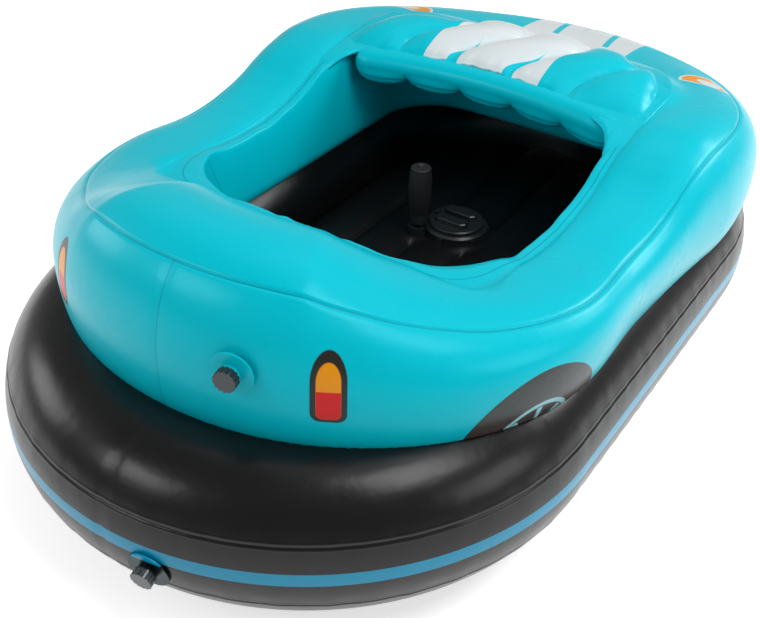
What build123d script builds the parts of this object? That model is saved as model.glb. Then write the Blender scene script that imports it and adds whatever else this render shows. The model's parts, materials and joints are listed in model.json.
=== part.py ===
from build123d import *
import os
from math import asin, atan2, cos, degrees, hypot, pi, sin, tan

# Inflatable electric bumper car. Millimetres, +Y forward, +X to the rider's right, +Z up.
# The origin is on the floor under the middle of the bumper ring.

# Driving sizes of the bumper ring
ring_half_width = 500
ring_half_straight = 322
ring_tube_width = 248
ring_tube_height = 268
ring_ground_gap = 25

# Body outline, set against the ring's, and its levels, counted up from its seat on the ring
seat_sink = 18               # how far the body presses into the top of the ring
hull_tail_inset = 138
hull_nose_inset = 63
hull_waist_inset = 22
hull_front_inset = 2
hull_tail_flat = 13          # half of the nearly straight stretch between two corners
hull_nose_flat = 15
hull_under_round = 50
hull_edge_round = 68
ledge_rise = 113             # lowest dip of the welded rim round the cockpit
ledge_tail_rise = 28         # this and the next are above that dip
ledge_front_rise = 83
crown_rise = 15              # from the rim to the crown beside it
hood_lip = 5                 # from the dashboard's seat to the hood ahead of it
hood_rise = 44               # this and the next four are above the dip
nose_rise = 10
deck_rise = 140
deck_side_rise = 44
slope_foot_rise = 33
deck_depth = 124             # level part of the raised tail, seen from the side
deck_flat_half_width = 190
deck_slope_half_width = 340
deck_arch_round = 150
deck_crease_round = 120
waist_y = -60
shoulder_y = 180
hood_y = 458
hood_fall_length = 105
wave_rounds = (150, 250, 250, 300, 120, 200)
crown_width = 184            # from the ring's side to the rim
deck_length = 352
rim_tail_lap = 20            # how far the rim reaches under the foot of the deck's slope
hood_length = 292
rim_tail_corner = 100
rim_front_corner = 175
ledge_width = 23
ledge_tail_width = 24
ledge_front_width = 30
cockpit_corner = 85
ledge_round = 10
cut_margin = 20              # how far a cutting shape runs past what it cuts
flat_enough = 0.9            # slope above which a face or an edge counts as level, or as upright

# Dashboard and its padded lip
dash_length = 220
dash_bow = 60                # how far the back edge curves forward in the middle
dash_gap = 0.3
dash_channels = 5
dash_valley_rise = 10        # these four are above the rim
dash_tail_rise = 14
dash_crest_rise = 30
dash_front_rise = 6
dash_slope_length = 70
dash_crest_round = 60
lip_radius = 26
lip_end_round = 20
lip_end_lean = 3.2           # how much farther out the lip's end reaches than the middle of its tube
lip_sink = 6                 # how deep the lip sits in the underside of the dashboard
lobe_radius = 22
lobe_drop = 16
lobe_pinch = 10

# Floor panel
floor_thickness = 40
floor_channels = 5
floor_channel_depth = 10
floor_gap = 0.3

# Drive unit housing
cover_thickness = 5
pan_side_gap = 37            # room between the tray and the ring
pan_rear_y = -270
pan_front_y = 390
pan_corner = 100
pan_wall = 4
pan_ground = 44
pan_bottom_round = 3
skid_height = 6
skid_width = 14
skid_x = 70
skid_length = 280

# Drive wheels
wheel_radius = 60
wheel_width = 42
wheel_side_gap = 10
wheel_head_room = 10
wheel_end_gap = 16
rim_radius = 42
rim_width = 36
rim_wall = 4
hub_radius = 14
spoke_count = 5
spoke_width = 10
spoke_depth = 16
tyre_shoulder = 8
axle_radius = 5
axle_depth = 32              # how far the axle reaches into the gearbox
running_gap = 0.05
gearbox_width = 46
gearbox_length = 60
gearbox_height = 42
gearbox_corner = 5
gearbox_bore_depth = 37
motor_radius = 19
motor_length = 62

# Battery: a standard sealed block
battery_width = 151
battery_length = 94
battery_height = 65
battery_gap = 7

# Swivel casters on the centre line
caster_radius = 30
caster_width = 22
caster_trail = 22
caster_plate_side = 58
caster_plate_thickness = 4
kingpin_radius = 6
kingpin_head_radius = 9
kingpin_head_height = 4
fork_arm = 4
fork_gap = 5
fork_neck_radius = 12
caster_axle_radius = 4
caster_eye = 9
caster_tread_round = 5
caster_cup_gap = 14
caster_cup_inset = 20        # from the end of the tray

# Clamp collar and twist cap in the floor
cap_y = 151
neck_radius = 46
neck_wall = 5
collar_width = 16
collar_height = 16
collar_foot_gap = 4
collar_groove = 3
collar_groove_rise = 5
collar_step = 4
collar_clips = 6
clip_width = 9
clip_depth = 3
clip_height = 10
cap_width = 8                # how far the cap reaches past the neck
cap_thickness = 8
cap_edge = 2
cap_plug_depth = 12
bar_inset = 21
bar_side_inset = 23
bar_height = 10
bar_slot = 14
bar_corner = 7
latch_x = -43
latch_length = 15
latch_width = 9
latch_height = 5
fit_gap = 0.3

# Joystick on a cross joint: two ears on the pedestal, two on the stick, one cross between them
stick_x = -58
stick_back = 48              # behind the middle of the cap
pedestal_radius = 20
pedestal_height = 14
bracket_width = 18
bracket_height = 7
pivot_rise = 14
pin_radius = 2.5
pin_reach = 10
ear_thickness = 4
ear_width = 8
ear_top = 5
cross_block = 9
cross_height = 7
fork_rise = 9
fork_plate = 4
skirt_drop = 6
skirt_radius = 15.5
skirt_wall = 2
stick_rod_radius = 6
stick_rod_length = 60
grip_radius = 22.5
grip_length = 100
grip_belly_rise = 52
grip_shoulder_radius = 19.5
grip_shoulder_drop = 6
grip_bezel = 2
button_radius = 5
button_height = 4

# Valves: weld flange, barrel and cap; each lies along the wall's normal
valve_flange_radius = 33
valve_flange_thickness = 3
valve_barrel_radius = 15
valve_barrel_length = 6
valve_cap_radius = 17
valve_cap_length = 13
valve_notches = 14
valve_notch_radius = 1.6
body_valve_x = 124
body_valve_rise = 14         # above the cockpit's rim
ring_valve_x = 78
ring_valve_drop = 29         # below the middle of the ring
ring_valve_lean = 11

# Levels and places that follow from the driving sizes
ring_mid_z = ring_ground_gap + ring_tube_height / 2
tube_path_x = ring_half_width - ring_tube_width / 2
ring_inner_x = ring_half_width - ring_tube_width
ring_inner_y = ring_half_straight + ring_inner_x
ring_end_y = ring_half_straight + ring_half_width
seat_height = ring_ground_gap + ring_tube_height - seat_sink
hull_tail_y = hull_tail_inset - ring_end_y
hull_nose_y = ring_end_y - hull_nose_inset
hull_tail_half_width = ring_half_width - hull_waist_inset
hull_front_half_width = ring_half_width - hull_front_inset
hull_tail_radius = hull_tail_half_width - hull_tail_flat
hull_front_radius = hull_front_half_width - hull_nose_flat
ledge_height = seat_height + ledge_rise
dash_seat = ledge_height + ledge_front_rise
hull_top = ledge_height + deck_rise
deck_side_height = ledge_height + deck_side_rise
rim_half_width = ring_half_width - crown_width
slope_foot_y = hull_tail_y + deck_length
rim_tail_y = slope_foot_y - rim_tail_lap
rim_front_y = hull_nose_y - hood_length
cockpit_half_width = rim_half_width - ledge_width
cockpit_tail_y = rim_tail_y + ledge_tail_width
cockpit_front_y = rim_front_y - ledge_front_width
floor_bottom = 2 * wheel_radius + wheel_head_room + cover_thickness
floor_top = floor_bottom + floor_thickness
cover_bottom = floor_bottom - cover_thickness
pan_half_width = ring_inner_x - pan_side_gap
pan_floor_top = pan_ground + pan_wall
bay_outer_x = pan_half_width - pan_wall
wheel_x = bay_outer_x - wheel_side_gap - wheel_width / 2
bay_inner_x = wheel_x - wheel_width / 2 - wheel_side_gap + pan_wall
bay_half_length = wheel_radius + wheel_end_gap
cup_radius = caster_radius + caster_trail + caster_cup_gap
caster_places = {
    "front": pan_front_y - caster_cup_inset - pan_wall - cup_radius,
    "rear": pan_rear_y + caster_cup_inset + pan_wall + cup_radius,
}
collar_radius = neck_radius + collar_width
collar_top = floor_top + collar_height
cap_radius = neck_radius + cap_width
cap_top = collar_top + cap_thickness
stick_y = cap_y - stick_back
body_valve_z = ledge_height + body_valve_rise
ring_valve_z = ring_mid_z - ring_valve_drop

os.makedirs("parts", exist_ok=True)


def save(piece, label):
    piece.part.label = label
    export_step(piece.part, f"parts/{label}.step")


def half_outline(tail_y, nose_y, tail_x, front_x, tail_r, front_r):
    """Right half of a rounded outline, from the tail to the nose."""
    return FilletPolyline((0, tail_y), (tail_x, tail_y), (front_x, nose_y), (0, nose_y), radius=(tail_r, front_r))


def rounded_bay(half_width, tail_y, front_y, corner):
    """Rounded rectangle on the centre line between two lines across the car."""
    with Locations((0, (tail_y + front_y) / 2)):
        RectangleRounded(2 * half_width, front_y - tail_y, corner)


# Bumper ring: one fat tube on a path of two straights and two round ends, flattened where the body sits
with BuildPart() as bumper_tube:
    with BuildLine(Plane.XY.offset(ring_mid_z)):
        Line((tube_path_x, -ring_half_straight), (tube_path_x, ring_half_straight))
        CenterArc((0, ring_half_straight), tube_path_x, 0, 180)
        Line((-tube_path_x, ring_half_straight), (-tube_path_x, -ring_half_straight))
        CenterArc((0, -ring_half_straight), tube_path_x, 180, 180)
    with BuildSketch(Plane.XZ.offset(ring_half_straight)):
        with Locations((tube_path_x, ring_mid_z)):
            Ellipse(ring_tube_width / 2, ring_tube_height / 2)
    sweep()
    with BuildSketch(Plane.XY.offset(seat_height)):
        with BuildLine():
            half_outline(hull_tail_y, hull_nose_y, hull_tail_half_width, hull_front_half_width,
                         hull_tail_radius, hull_front_radius)
            mirror(about=Plane.YZ)
        make_face()
    extrude(amount=ring_tube_height, mode=Mode.SUBTRACT)
save(bumper_tube, "bumper_tube")

# Room above the rim: its floor follows the rim down from the tail and up to the dashboard's seat
with BuildPart() as rim_bay:
    with BuildSketch(Plane.XY.offset(ledge_height)):
        with BuildLine():
            half_outline(rim_tail_y, rim_front_y, rim_half_width, rim_half_width, rim_tail_corner, rim_front_corner)
            mirror(about=Plane.YZ)
        make_face()
    extrude(amount=deck_rise + cut_margin)
    with BuildSketch(Plane.YZ.offset(-rim_half_width)):
        with BuildLine():
            rim = FilletPolyline((rim_tail_y - cut_margin, ledge_height + ledge_tail_rise), (waist_y, ledge_height),
                                 (shoulder_y, dash_seat), (rim_front_y + cut_margin, dash_seat),
                                 radius=wave_rounds[2])
            Polyline(rim @ 1, (rim_front_y + cut_margin, 2 * hull_top), (rim_tail_y - cut_margin, 2 * hull_top),
                     rim @ 0)
        make_face()
    extrude(amount=2 * rim_half_width, mode=Mode.INTERSECT)

rim_floor = [face for face in rim_bay.faces() if face.normal_at(face.center()).Z < -flat_enough]


def on_rim(edge):
    """Whether an edge is level enough and its middle lies on the rim's surface."""
    return abs((edge % 0.5).Z) < flat_enough and min(face.distance_to(edge @ 0.5) for face in rim_floor) < fit_gap


# Body: outline with the long wave of the side crown and the arched tail deck, open over the cockpit
deck_front_y = hull_tail_y + deck_depth
with BuildPart() as body_hull:
    with BuildSketch(Plane.XY.offset(seat_height)):
        with BuildLine():
            half_outline(hull_tail_y, hull_nose_y, hull_tail_half_width, hull_front_half_width,
                         hull_tail_radius, hull_front_radius)
            mirror(about=Plane.YZ)
        make_face()
    extrude(amount=hull_top + cut_margin - seat_height)
    with BuildSketch(Plane.YZ.offset(-hull_front_half_width)):
        with BuildLine():
            wave = FilletPolyline((hull_tail_y - cut_margin, hull_top + cut_margin / 2),
                                  (deck_front_y, hull_top + cut_margin / 2),
                                  (slope_foot_y, ledge_height + slope_foot_rise),
                                  (waist_y, ledge_height + crown_rise),
                                  (shoulder_y, dash_seat + crown_rise),
                                  (hood_y, dash_seat + hood_lip),
                                  (hood_y + hood_fall_length, ledge_height + hood_rise),
                                  (hull_nose_y + cut_margin, ledge_height + nose_rise), radius=wave_rounds)
            Polyline(wave @ 1, (hull_nose_y + cut_margin, 2 * hull_top), (hull_tail_y - cut_margin, 2 * hull_top),
                     wave @ 0)
        make_face()
    extrude(amount=2 * hull_front_half_width, mode=Mode.SUBTRACT)
    with BuildSketch(Plane.XZ.offset(-slope_foot_y)):
        with BuildLine():
            arch = FilletPolyline((-hull_front_half_width - cut_margin, deck_side_height),
                                  (-deck_slope_half_width, deck_side_height), (-deck_flat_half_width, hull_top),
                                  (deck_flat_half_width, hull_top), (deck_slope_half_width, deck_side_height),
                                  (hull_front_half_width + cut_margin, deck_side_height), radius=deck_arch_round)
            Polyline(arch @ 1, (hull_front_half_width + cut_margin, 2 * hull_top),
                     (-hull_front_half_width - cut_margin, 2 * hull_top), arch @ 0)
        make_face()
    extrude(amount=deck_length + cut_margin, mode=Mode.SUBTRACT)
    tail_centre_y = hull_tail_y + hull_tail_radius
    deck_crease = [edge for edge in body_hull.edges(Select.LAST)
                   if (edge @ 0.5).Z > deck_side_height
                   and hypot((edge @ 0.5).X, (edge @ 0.5).Y - tail_centre_y) < hull_tail_radius - cut_margin]
    fillet(deck_crease, deck_crease_round)
    walls = [face for face in body_hull.faces() if abs(face.normal_at(face.center()).Z) < 1 - flat_enough]
    outer_edges = [edge for wall in walls for edge in wall.edges()
                   if (edge @ 0.5).Z > ledge_height and abs((edge % 0.5).Z) < flat_enough]
    fillet(outer_edges, hull_edge_round)
    add(rim_bay.part, mode=Mode.SUBTRACT)
    with BuildSketch(Plane.XY.offset(seat_height)):
        with BuildLine():
            half_outline(cockpit_tail_y, cockpit_front_y, cockpit_half_width, cockpit_half_width,
                         cockpit_corner, rim_front_corner)
            mirror(about=Plane.YZ)
        make_face()
    extrude(amount=dash_seat - seat_height + cut_margin, mode=Mode.SUBTRACT)
    fillet([edge for edge in body_hull.edges(Select.LAST) if on_rim(edge)], ledge_round)
    underside = body_hull.faces().sort_by(Axis.Z)[0]
    fillet(underside.outer_wire().edges(), hull_under_round)
save(body_hull, "body_hull")

# Dashboard: side by side channels that run fore and aft, over the front of the rim, with a bowed back edge
dash_front_y = rim_front_y - dash_gap
dash_tail_y = rim_front_y - dash_length
dash_half_width = rim_half_width - dash_gap
channel_width = 2 * dash_half_width / dash_channels
bow_radius = (dash_half_width ** 2 + dash_bow ** 2) / (2 * dash_bow)
bow_centre_y = dash_tail_y - bow_radius
dash_corner_y = dash_tail_y - dash_bow
lip_z = dash_seat + lip_sink - lip_radius


def bow_arc(half_width):
    """Arc of the dashboard's back edge between two lines along the car."""
    half_angle = degrees(asin(half_width / bow_radius))
    return CenterArc((0, bow_centre_y), bow_radius, 90 - half_angle, 2 * half_angle)


with BuildPart() as dash_panel:
    with BuildSketch(Plane.XZ.offset(-dash_front_y)):
        with Locations((0, dash_seat + dash_valley_rise / 2)):
            Rectangle(2 * dash_half_width, dash_valley_rise)
        for channel in range(dash_channels):
            middle = (channel + 0.5) * channel_width - dash_half_width
            with Locations((middle, dash_seat + dash_valley_rise)):
                SlotOverall(channel_width, 2 * (dash_crest_rise - dash_valley_rise))
    extrude(amount=dash_front_y - dash_corner_y)
    with BuildSketch(Plane.XY.offset(dash_seat)):
        with BuildLine():
            FilletPolyline((dash_half_width, dash_corner_y), (dash_half_width, dash_front_y),
                           (-dash_half_width, dash_front_y), (-dash_half_width, dash_corner_y),
                           radius=rim_front_corner)
            bow_arc(dash_half_width)
        make_face()
    extrude(amount=dash_crest_rise, mode=Mode.INTERSECT)
    with BuildSketch(Plane.YZ.offset(-dash_half_width)):
        with BuildLine():
            top = FilletPolyline((dash_corner_y, dash_seat + dash_tail_rise),
                                 (dash_tail_y + dash_slope_length, dash_seat + dash_crest_rise),
                                 (dash_front_y - dash_slope_length, dash_seat + dash_crest_rise),
                                 (dash_front_y, dash_seat + dash_front_rise), radius=dash_crest_round)
            Polyline(top @ 1, (dash_front_y, dash_seat), (dash_corner_y, dash_seat), top @ 0)
        make_face()
    extrude(amount=2 * dash_half_width, mode=Mode.INTERSECT)
    with BuildLine(Plane.XY.offset(lip_z)):
        bow_arc(dash_half_width)
    with BuildSketch(Plane(origin=(0, dash_tail_y, lip_z), z_dir=(1, 0, 0))):
        Circle(lip_radius)
    sweep(mode=Mode.SUBTRACT)
save(dash_panel, "dash_panel")

# Padded lip under the back edge of the dashboard, with a row of lobes below it
lip_half_width = cockpit_half_width - fit_gap - lip_end_lean
lobe_pitch = (2 * lip_half_width - lobe_pinch) / dash_channels
lobe_z = lip_z - lobe_drop
with BuildPart() as dash_lip:
    with BuildLine(Plane.XY.offset(lip_z)):
        bow_arc(lip_half_width)
    with BuildSketch(Plane(origin=(0, dash_tail_y, lip_z), z_dir=(1, 0, 0))):
        Circle(lip_radius)
    sweep()
    fillet(dash_lip.edges(), lip_end_round)
    for channel in range(dash_channels):
        turn = asin((channel + 0.5 - dash_channels / 2) * lobe_pitch / bow_radius)
        middle = (bow_radius * sin(turn), bow_centre_y + bow_radius * cos(turn), lobe_z)
        along = (cos(turn), -sin(turn), 0)
        with BuildSketch(Plane(origin=middle, x_dir=along, z_dir=(-sin(turn), -cos(turn), 0))):
            with BuildLine():
                belly = ThreePointArc((-lobe_pitch / 2, -lobe_pinch), (0, -lobe_radius), (lobe_pitch / 2, -lobe_pinch))
                Polyline(belly @ 1, (lobe_pitch / 2, 0), (-lobe_pitch / 2, 0), belly @ 0)
            make_face()
        revolve(axis=Axis(middle, along))
save(dash_lip, "dash_lip")

# Floor panel: welded channels inside the ring, with flat rounds under the clamp and the joystick
floor_half_width = ring_inner_x - floor_gap
floor_half_length = ring_inner_y - floor_gap
floor_channel_width = 2 * floor_half_width / floor_channels
with BuildPart() as floor_panel:
    with BuildSketch(Plane.XZ.offset(-floor_half_length)):
        with Locations((0, floor_bottom + (floor_thickness - floor_channel_depth) / 2)):
            Rectangle(2 * floor_half_width, floor_thickness - floor_channel_depth)
        for channel in range(floor_channels):
            middle = (channel + 0.5) * floor_channel_width - floor_half_width
            with Locations((middle, floor_top - floor_channel_depth)):
                SlotOverall(floor_channel_width, 2 * floor_channel_depth)
    extrude(amount=2 * floor_half_length)
    with BuildSketch(Plane.XY.offset(floor_bottom)):
        RectangleRounded(2 * floor_half_width, 2 * floor_half_length, floor_half_width - floor_gap)
    extrude(amount=floor_thickness, mode=Mode.INTERSECT)
    with BuildSketch(Plane.XY.offset(floor_bottom)):
        with Locations((0, cap_y)):
            Circle(collar_radius + collar_foot_gap)
        with Locations((stick_x, stick_y)):
            Circle(pedestal_radius + collar_foot_gap)
    extrude(amount=floor_thickness)
    with BuildSketch(Plane.XY.offset(floor_bottom)):
        with Locations((0, cap_y)):
            Circle(neck_radius + fit_gap)
    extrude(amount=floor_thickness, mode=Mode.SUBTRACT)
save(floor_panel, "floor_panel")

# Drive tray: a pan with rectangular wheel openings and round caster openings in its floor
with BuildPart() as drive_tray:
    with BuildSketch(Plane.XY.offset(pan_ground)):
        rounded_bay(pan_half_width, pan_rear_y, pan_front_y, pan_corner)
    extrude(amount=cover_bottom - pan_ground)
    with BuildSketch(Plane.XY.offset(pan_floor_top)):
        rounded_bay(pan_half_width - pan_wall, pan_rear_y + pan_wall, pan_front_y - pan_wall, pan_corner - pan_wall)
    extrude(amount=cover_bottom - pan_floor_top, mode=Mode.SUBTRACT)
    fillet(drive_tray.faces().sort_by(Axis.Z)[0].outer_wire().edges(), pan_bottom_round)
    with BuildSketch(Plane.XY.offset(pan_ground)):
        for side in (-1, 1):
            with Locations((side * (bay_inner_x + bay_outer_x - pan_wall) / 2, 0)):
                Rectangle(bay_outer_x - pan_wall - bay_inner_x, 2 * bay_half_length)
        for place in caster_places.values():
            with Locations((0, place)):
                Circle(cup_radius)
    extrude(amount=pan_wall, mode=Mode.SUBTRACT)
    with BuildSketch(Plane.XY.offset(pan_ground)):
        with Locations((-skid_x, (pan_front_y + pan_rear_y) / 2), (skid_x, (pan_front_y + pan_rear_y) / 2)):
            RectangleRounded(skid_width, skid_length, skid_width / 2 - fit_gap)
    extrude(amount=-skid_height)
save(drive_tray, "drive_tray")

# Liners that stand round the openings and close the tray against the cover
for side, label in ((-1, "left"), (1, "right")):
    with BuildPart() as wheel_bay:
        with BuildSketch(Plane.XY.offset(pan_floor_top)):
            with Locations((side * (bay_inner_x + bay_outer_x - pan_wall) / 2, 0)):
                Rectangle(bay_outer_x - bay_inner_x + pan_wall, 2 * (bay_half_length + pan_wall))
                Rectangle(bay_outer_x - bay_inner_x - pan_wall, 2 * bay_half_length, mode=Mode.SUBTRACT)
        extrude(amount=cover_bottom - pan_floor_top)
        with BuildSketch(Plane.YZ):
            with Locations((0, wheel_radius)):
                Circle(axle_radius + fit_gap)
        extrude(amount=side * (bay_inner_x + pan_wall), mode=Mode.SUBTRACT)
    save(wheel_bay, f"wheel_bay_{label}")

for label, place in caster_places.items():
    with BuildPart() as caster_cup:
        with BuildSketch(Plane.XY.offset(pan_floor_top)):
            with Locations((0, place)):
                Circle(cup_radius + pan_wall)
                Circle(cup_radius, mode=Mode.SUBTRACT)
        extrude(amount=cover_bottom - pan_floor_top)
    save(caster_cup, f"caster_cup_{label}")

with BuildPart() as drive_cover:
    with BuildSketch(Plane.XY.offset(cover_bottom)):
        rounded_bay(pan_half_width, pan_rear_y, pan_front_y, pan_corner)
    extrude(amount=cover_thickness)
    with BuildSketch(Plane.XY.offset(cover_bottom)):
        with Locations((0, cap_y)):
            Circle(neck_radius)
    extrude(amount=collar_top - fit_gap - cover_bottom)
    with BuildSketch(Plane.XY.offset(cover_bottom)):
        with Locations((0, cap_y)):
            Circle(neck_radius - neck_wall)
    extrude(amount=collar_top - cover_bottom, mode=Mode.SUBTRACT)
save(drive_cover, "drive_cover")

with BuildPart() as battery:
    with BuildSketch(Plane.XY.offset(pan_floor_top)):
        with Locations((0, bay_half_length + battery_gap + battery_length / 2)):
            Rectangle(battery_width, battery_length)
    extrude(amount=battery_height)
save(battery, "battery")

# Left and right drive: gear motor, axle, rim and tyre
gearbox_face_x = bay_inner_x - pan_wall
for side, label in ((-1, "left"), (1, "right")):
    with BuildPart() as gear_motor:
        with BuildSketch(Plane.XY.offset(pan_floor_top)):
            with Locations((side * (gearbox_face_x - gearbox_width / 2), 0)):
                RectangleRounded(gearbox_width, gearbox_length, gearbox_corner)
        extrude(amount=gearbox_height)
        with BuildSketch(Plane.YZ.offset(side * (gearbox_face_x - gearbox_width))):
            with Locations((0, pan_floor_top + motor_radius + fit_gap)):
                Circle(motor_radius)
        extrude(amount=-side * motor_length)
        with BuildSketch(Plane.YZ.offset(side * gearbox_face_x)):
            with Locations((0, wheel_radius)):
                Circle(axle_radius + running_gap)
        extrude(amount=-side * gearbox_bore_depth, mode=Mode.SUBTRACT)
    save(gear_motor, f"gear_motor_{label}")

    with BuildPart() as drive_axle:
        with BuildSketch(Plane.YZ.offset(side * (gearbox_face_x - axle_depth))):
            with Locations((0, wheel_radius)):
                Circle(axle_radius)
        extrude(amount=side * (wheel_x + wheel_width / 2 - gearbox_face_x + axle_depth))
    save(drive_axle, f"drive_axle_{label}")

    with BuildPart() as drive_rim:
        with BuildSketch(Plane.YZ.offset(side * (wheel_x - rim_width / 2))):
            with Locations((0, wheel_radius)):
                Circle(rim_radius)
                Circle(rim_radius - rim_wall, mode=Mode.SUBTRACT)
                Circle(hub_radius)
        extrude(amount=side * rim_width)
        with BuildSketch(Plane.YZ.offset(side * (wheel_x - spoke_depth / 2))):
            with Locations((0, wheel_radius)):
                with PolarLocations(rim_radius / 2, spoke_count):
                    Rectangle(rim_radius - rim_wall / 2, spoke_width)
        extrude(amount=side * spoke_depth)
        with BuildSketch(Plane.YZ.offset(side * (wheel_x - rim_width / 2))):
            with Locations((0, wheel_radius)):
                Circle(axle_radius)
        extrude(amount=side * rim_width, mode=Mode.SUBTRACT)
    save(drive_rim, f"drive_rim_{label}")

    with BuildPart() as drive_tyre:
        with BuildSketch(Plane.YZ.offset(side * (wheel_x - wheel_width / 2))):
            with Locations((0, wheel_radius)):
                Circle(wheel_radius)
        extrude(amount=side * wheel_width)
        fillet(drive_tyre.edges(), tyre_shoulder)
        with BuildSketch(Plane.YZ.offset(side * (wheel_x - wheel_width / 2))):
            with Locations((0, wheel_radius)):
                Circle(rim_radius)
        extrude(amount=side * wheel_width, mode=Mode.SUBTRACT)
    save(drive_tyre, f"drive_tyre_{label}")

# Front and rear swivel casters, hung from the cover plate and trailing to the rear
fork_inner_x = caster_width / 2 + fork_gap
fork_crown_z = 2 * caster_radius + fork_gap + kingpin_head_height + fit_gap
plate_bottom = cover_bottom - caster_plate_thickness
for label, place in caster_places.items():
    trail_y = place - caster_trail
    with BuildPart() as caster_plate:
        with BuildSketch(Plane.XY.offset(plate_bottom)):
            with Locations((0, place)):
                RectangleRounded(caster_plate_side, caster_plate_side, kingpin_radius)
        extrude(amount=caster_plate_thickness)
        with BuildSketch(Plane.XY.offset(fork_crown_z - fit_gap)):
            with Locations((0, place)):
                Circle(kingpin_radius)
        extrude(amount=plate_bottom - fork_crown_z + fit_gap)
        with BuildSketch(Plane.XY.offset(fork_crown_z - fit_gap)):
            with Locations((0, place)):
                Circle(kingpin_head_radius)
        extrude(amount=-kingpin_head_height)
    save(caster_plate, f"caster_plate_{label}")

    with BuildPart() as caster_fork:
        with BuildSketch(Plane.XY.offset(fork_crown_z)):
            with Locations((0, place)):
                Circle(fork_inner_x + fork_arm)
        extrude(amount=fork_arm)
        with BuildSketch(Plane.XY.offset(fork_crown_z)):
            with Locations((0, place)):
                Circle(fork_neck_radius)
        extrude(amount=plate_bottom - fork_crown_z - fit_gap)
        for arm_x in (-fork_inner_x - fork_arm, fork_inner_x):
            with BuildSketch(Plane.YZ.offset(arm_x)):
                with BuildLine():
                    Polyline((place + caster_eye, fork_crown_z + fork_arm), (place - caster_eye, fork_crown_z + fork_arm),
                             (trail_y - caster_eye, caster_radius), (trail_y + caster_eye, caster_radius),
                             (place + caster_eye, fork_crown_z + fork_arm))
                make_face()
                with Locations((trail_y, caster_radius)):
                    Circle(caster_eye)
                    Circle(caster_axle_radius, mode=Mode.SUBTRACT)
            extrude(amount=fork_arm)
        with BuildSketch(Plane.XY.offset(fork_crown_z)):
            with Locations((0, place)):
                Circle(kingpin_radius + running_gap)
        extrude(amount=plate_bottom - fork_crown_z, mode=Mode.SUBTRACT)
    save(caster_fork, f"caster_fork_{label}")

    with BuildPart() as caster_axle:
        with BuildSketch(Plane.YZ.offset(-fork_inner_x - fork_arm)):
            with Locations((trail_y, caster_radius)):
                Circle(caster_axle_radius)
        extrude(amount=2 * (fork_inner_x + fork_arm))
    save(caster_axle, f"caster_axle_{label}")

    with BuildPart() as caster_wheel:
        with BuildSketch(Plane.YZ.offset(-caster_width / 2)):
            with Locations((trail_y, caster_radius)):
                Circle(caster_radius)
        extrude(amount=caster_width)
        fillet(caster_wheel.edges(), caster_tread_round)
        with BuildSketch(Plane.YZ.offset(-caster_width / 2)):
            with Locations((trail_y, caster_radius)):
                Circle(caster_axle_radius + running_gap)
        extrude(amount=caster_width, mode=Mode.SUBTRACT)
    save(caster_wheel, f"caster_wheel_{label}")

# Clamp collar on the floor round the neck: grooved wall, stepped top and a row of clips
groove_bottom = floor_top + collar_groove_rise
with BuildPart() as clamp_collar:
    with BuildSketch(Plane.XZ.offset(-cap_y)):
        with BuildLine():
            Polyline((neck_radius + fit_gap, floor_top), (collar_radius, floor_top), (collar_radius, groove_bottom),
                     (collar_radius - collar_groove, groove_bottom),
                     (collar_radius - collar_groove, groove_bottom + collar_groove),
                     (collar_radius, groove_bottom + collar_groove), (collar_radius, collar_top - collar_step),
                     (collar_radius - collar_step, collar_top), (neck_radius + fit_gap, collar_top),
                     (neck_radius + fit_gap, floor_top))
        make_face()
    revolve(axis=Axis((0, cap_y, 0), (0, 0, 1)))
    with BuildSketch(Plane.XY.offset(floor_top)):
        with Locations((0, cap_y)):
            with PolarLocations(collar_radius - clip_depth, collar_clips, start_angle=180 / collar_clips):
                Rectangle(4 * clip_depth, clip_width)
    extrude(amount=clip_height)
save(clamp_collar, "clamp_collar")

# Twist cap: disc with a plug into the neck, two finger bars and a small latch
bar_length = 2 * (cap_radius - bar_inset)
bar_width = cap_radius - bar_slot / 2 - bar_side_inset
with BuildPart() as twist_cap:
    with BuildSketch(Plane.XY.offset(collar_top)):
        with Locations((0, cap_y)):
            Circle(cap_radius)
    extrude(amount=cap_thickness)
    chamfer(twist_cap.edges().group_by(Axis.Z)[-1], cap_edge)
    with BuildSketch(Plane.XY.offset(collar_top)):
        with Locations((0, cap_y)):
            Circle(neck_radius - neck_wall - fit_gap)
    extrude(amount=-cap_plug_depth)
    with BuildSketch(Plane.XY.offset(cap_top)) as bar_outline:
        for row in (-1, 1):
            with Locations((0, cap_y + row * (bar_slot + bar_width) / 2)):
                Rectangle(bar_length, bar_width)
        chamfer(bar_outline.vertices(), bar_corner)
    extrude(amount=bar_height)
    chamfer(twist_cap.edges().group_by(Axis.Z)[-1], cap_edge)
    with BuildSketch(Plane.XY.offset(cap_top)):
        with Locations((latch_x, cap_y)):
            Rectangle(latch_width, latch_length)
    extrude(amount=latch_height)
save(twist_cap, "twist_cap")

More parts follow.
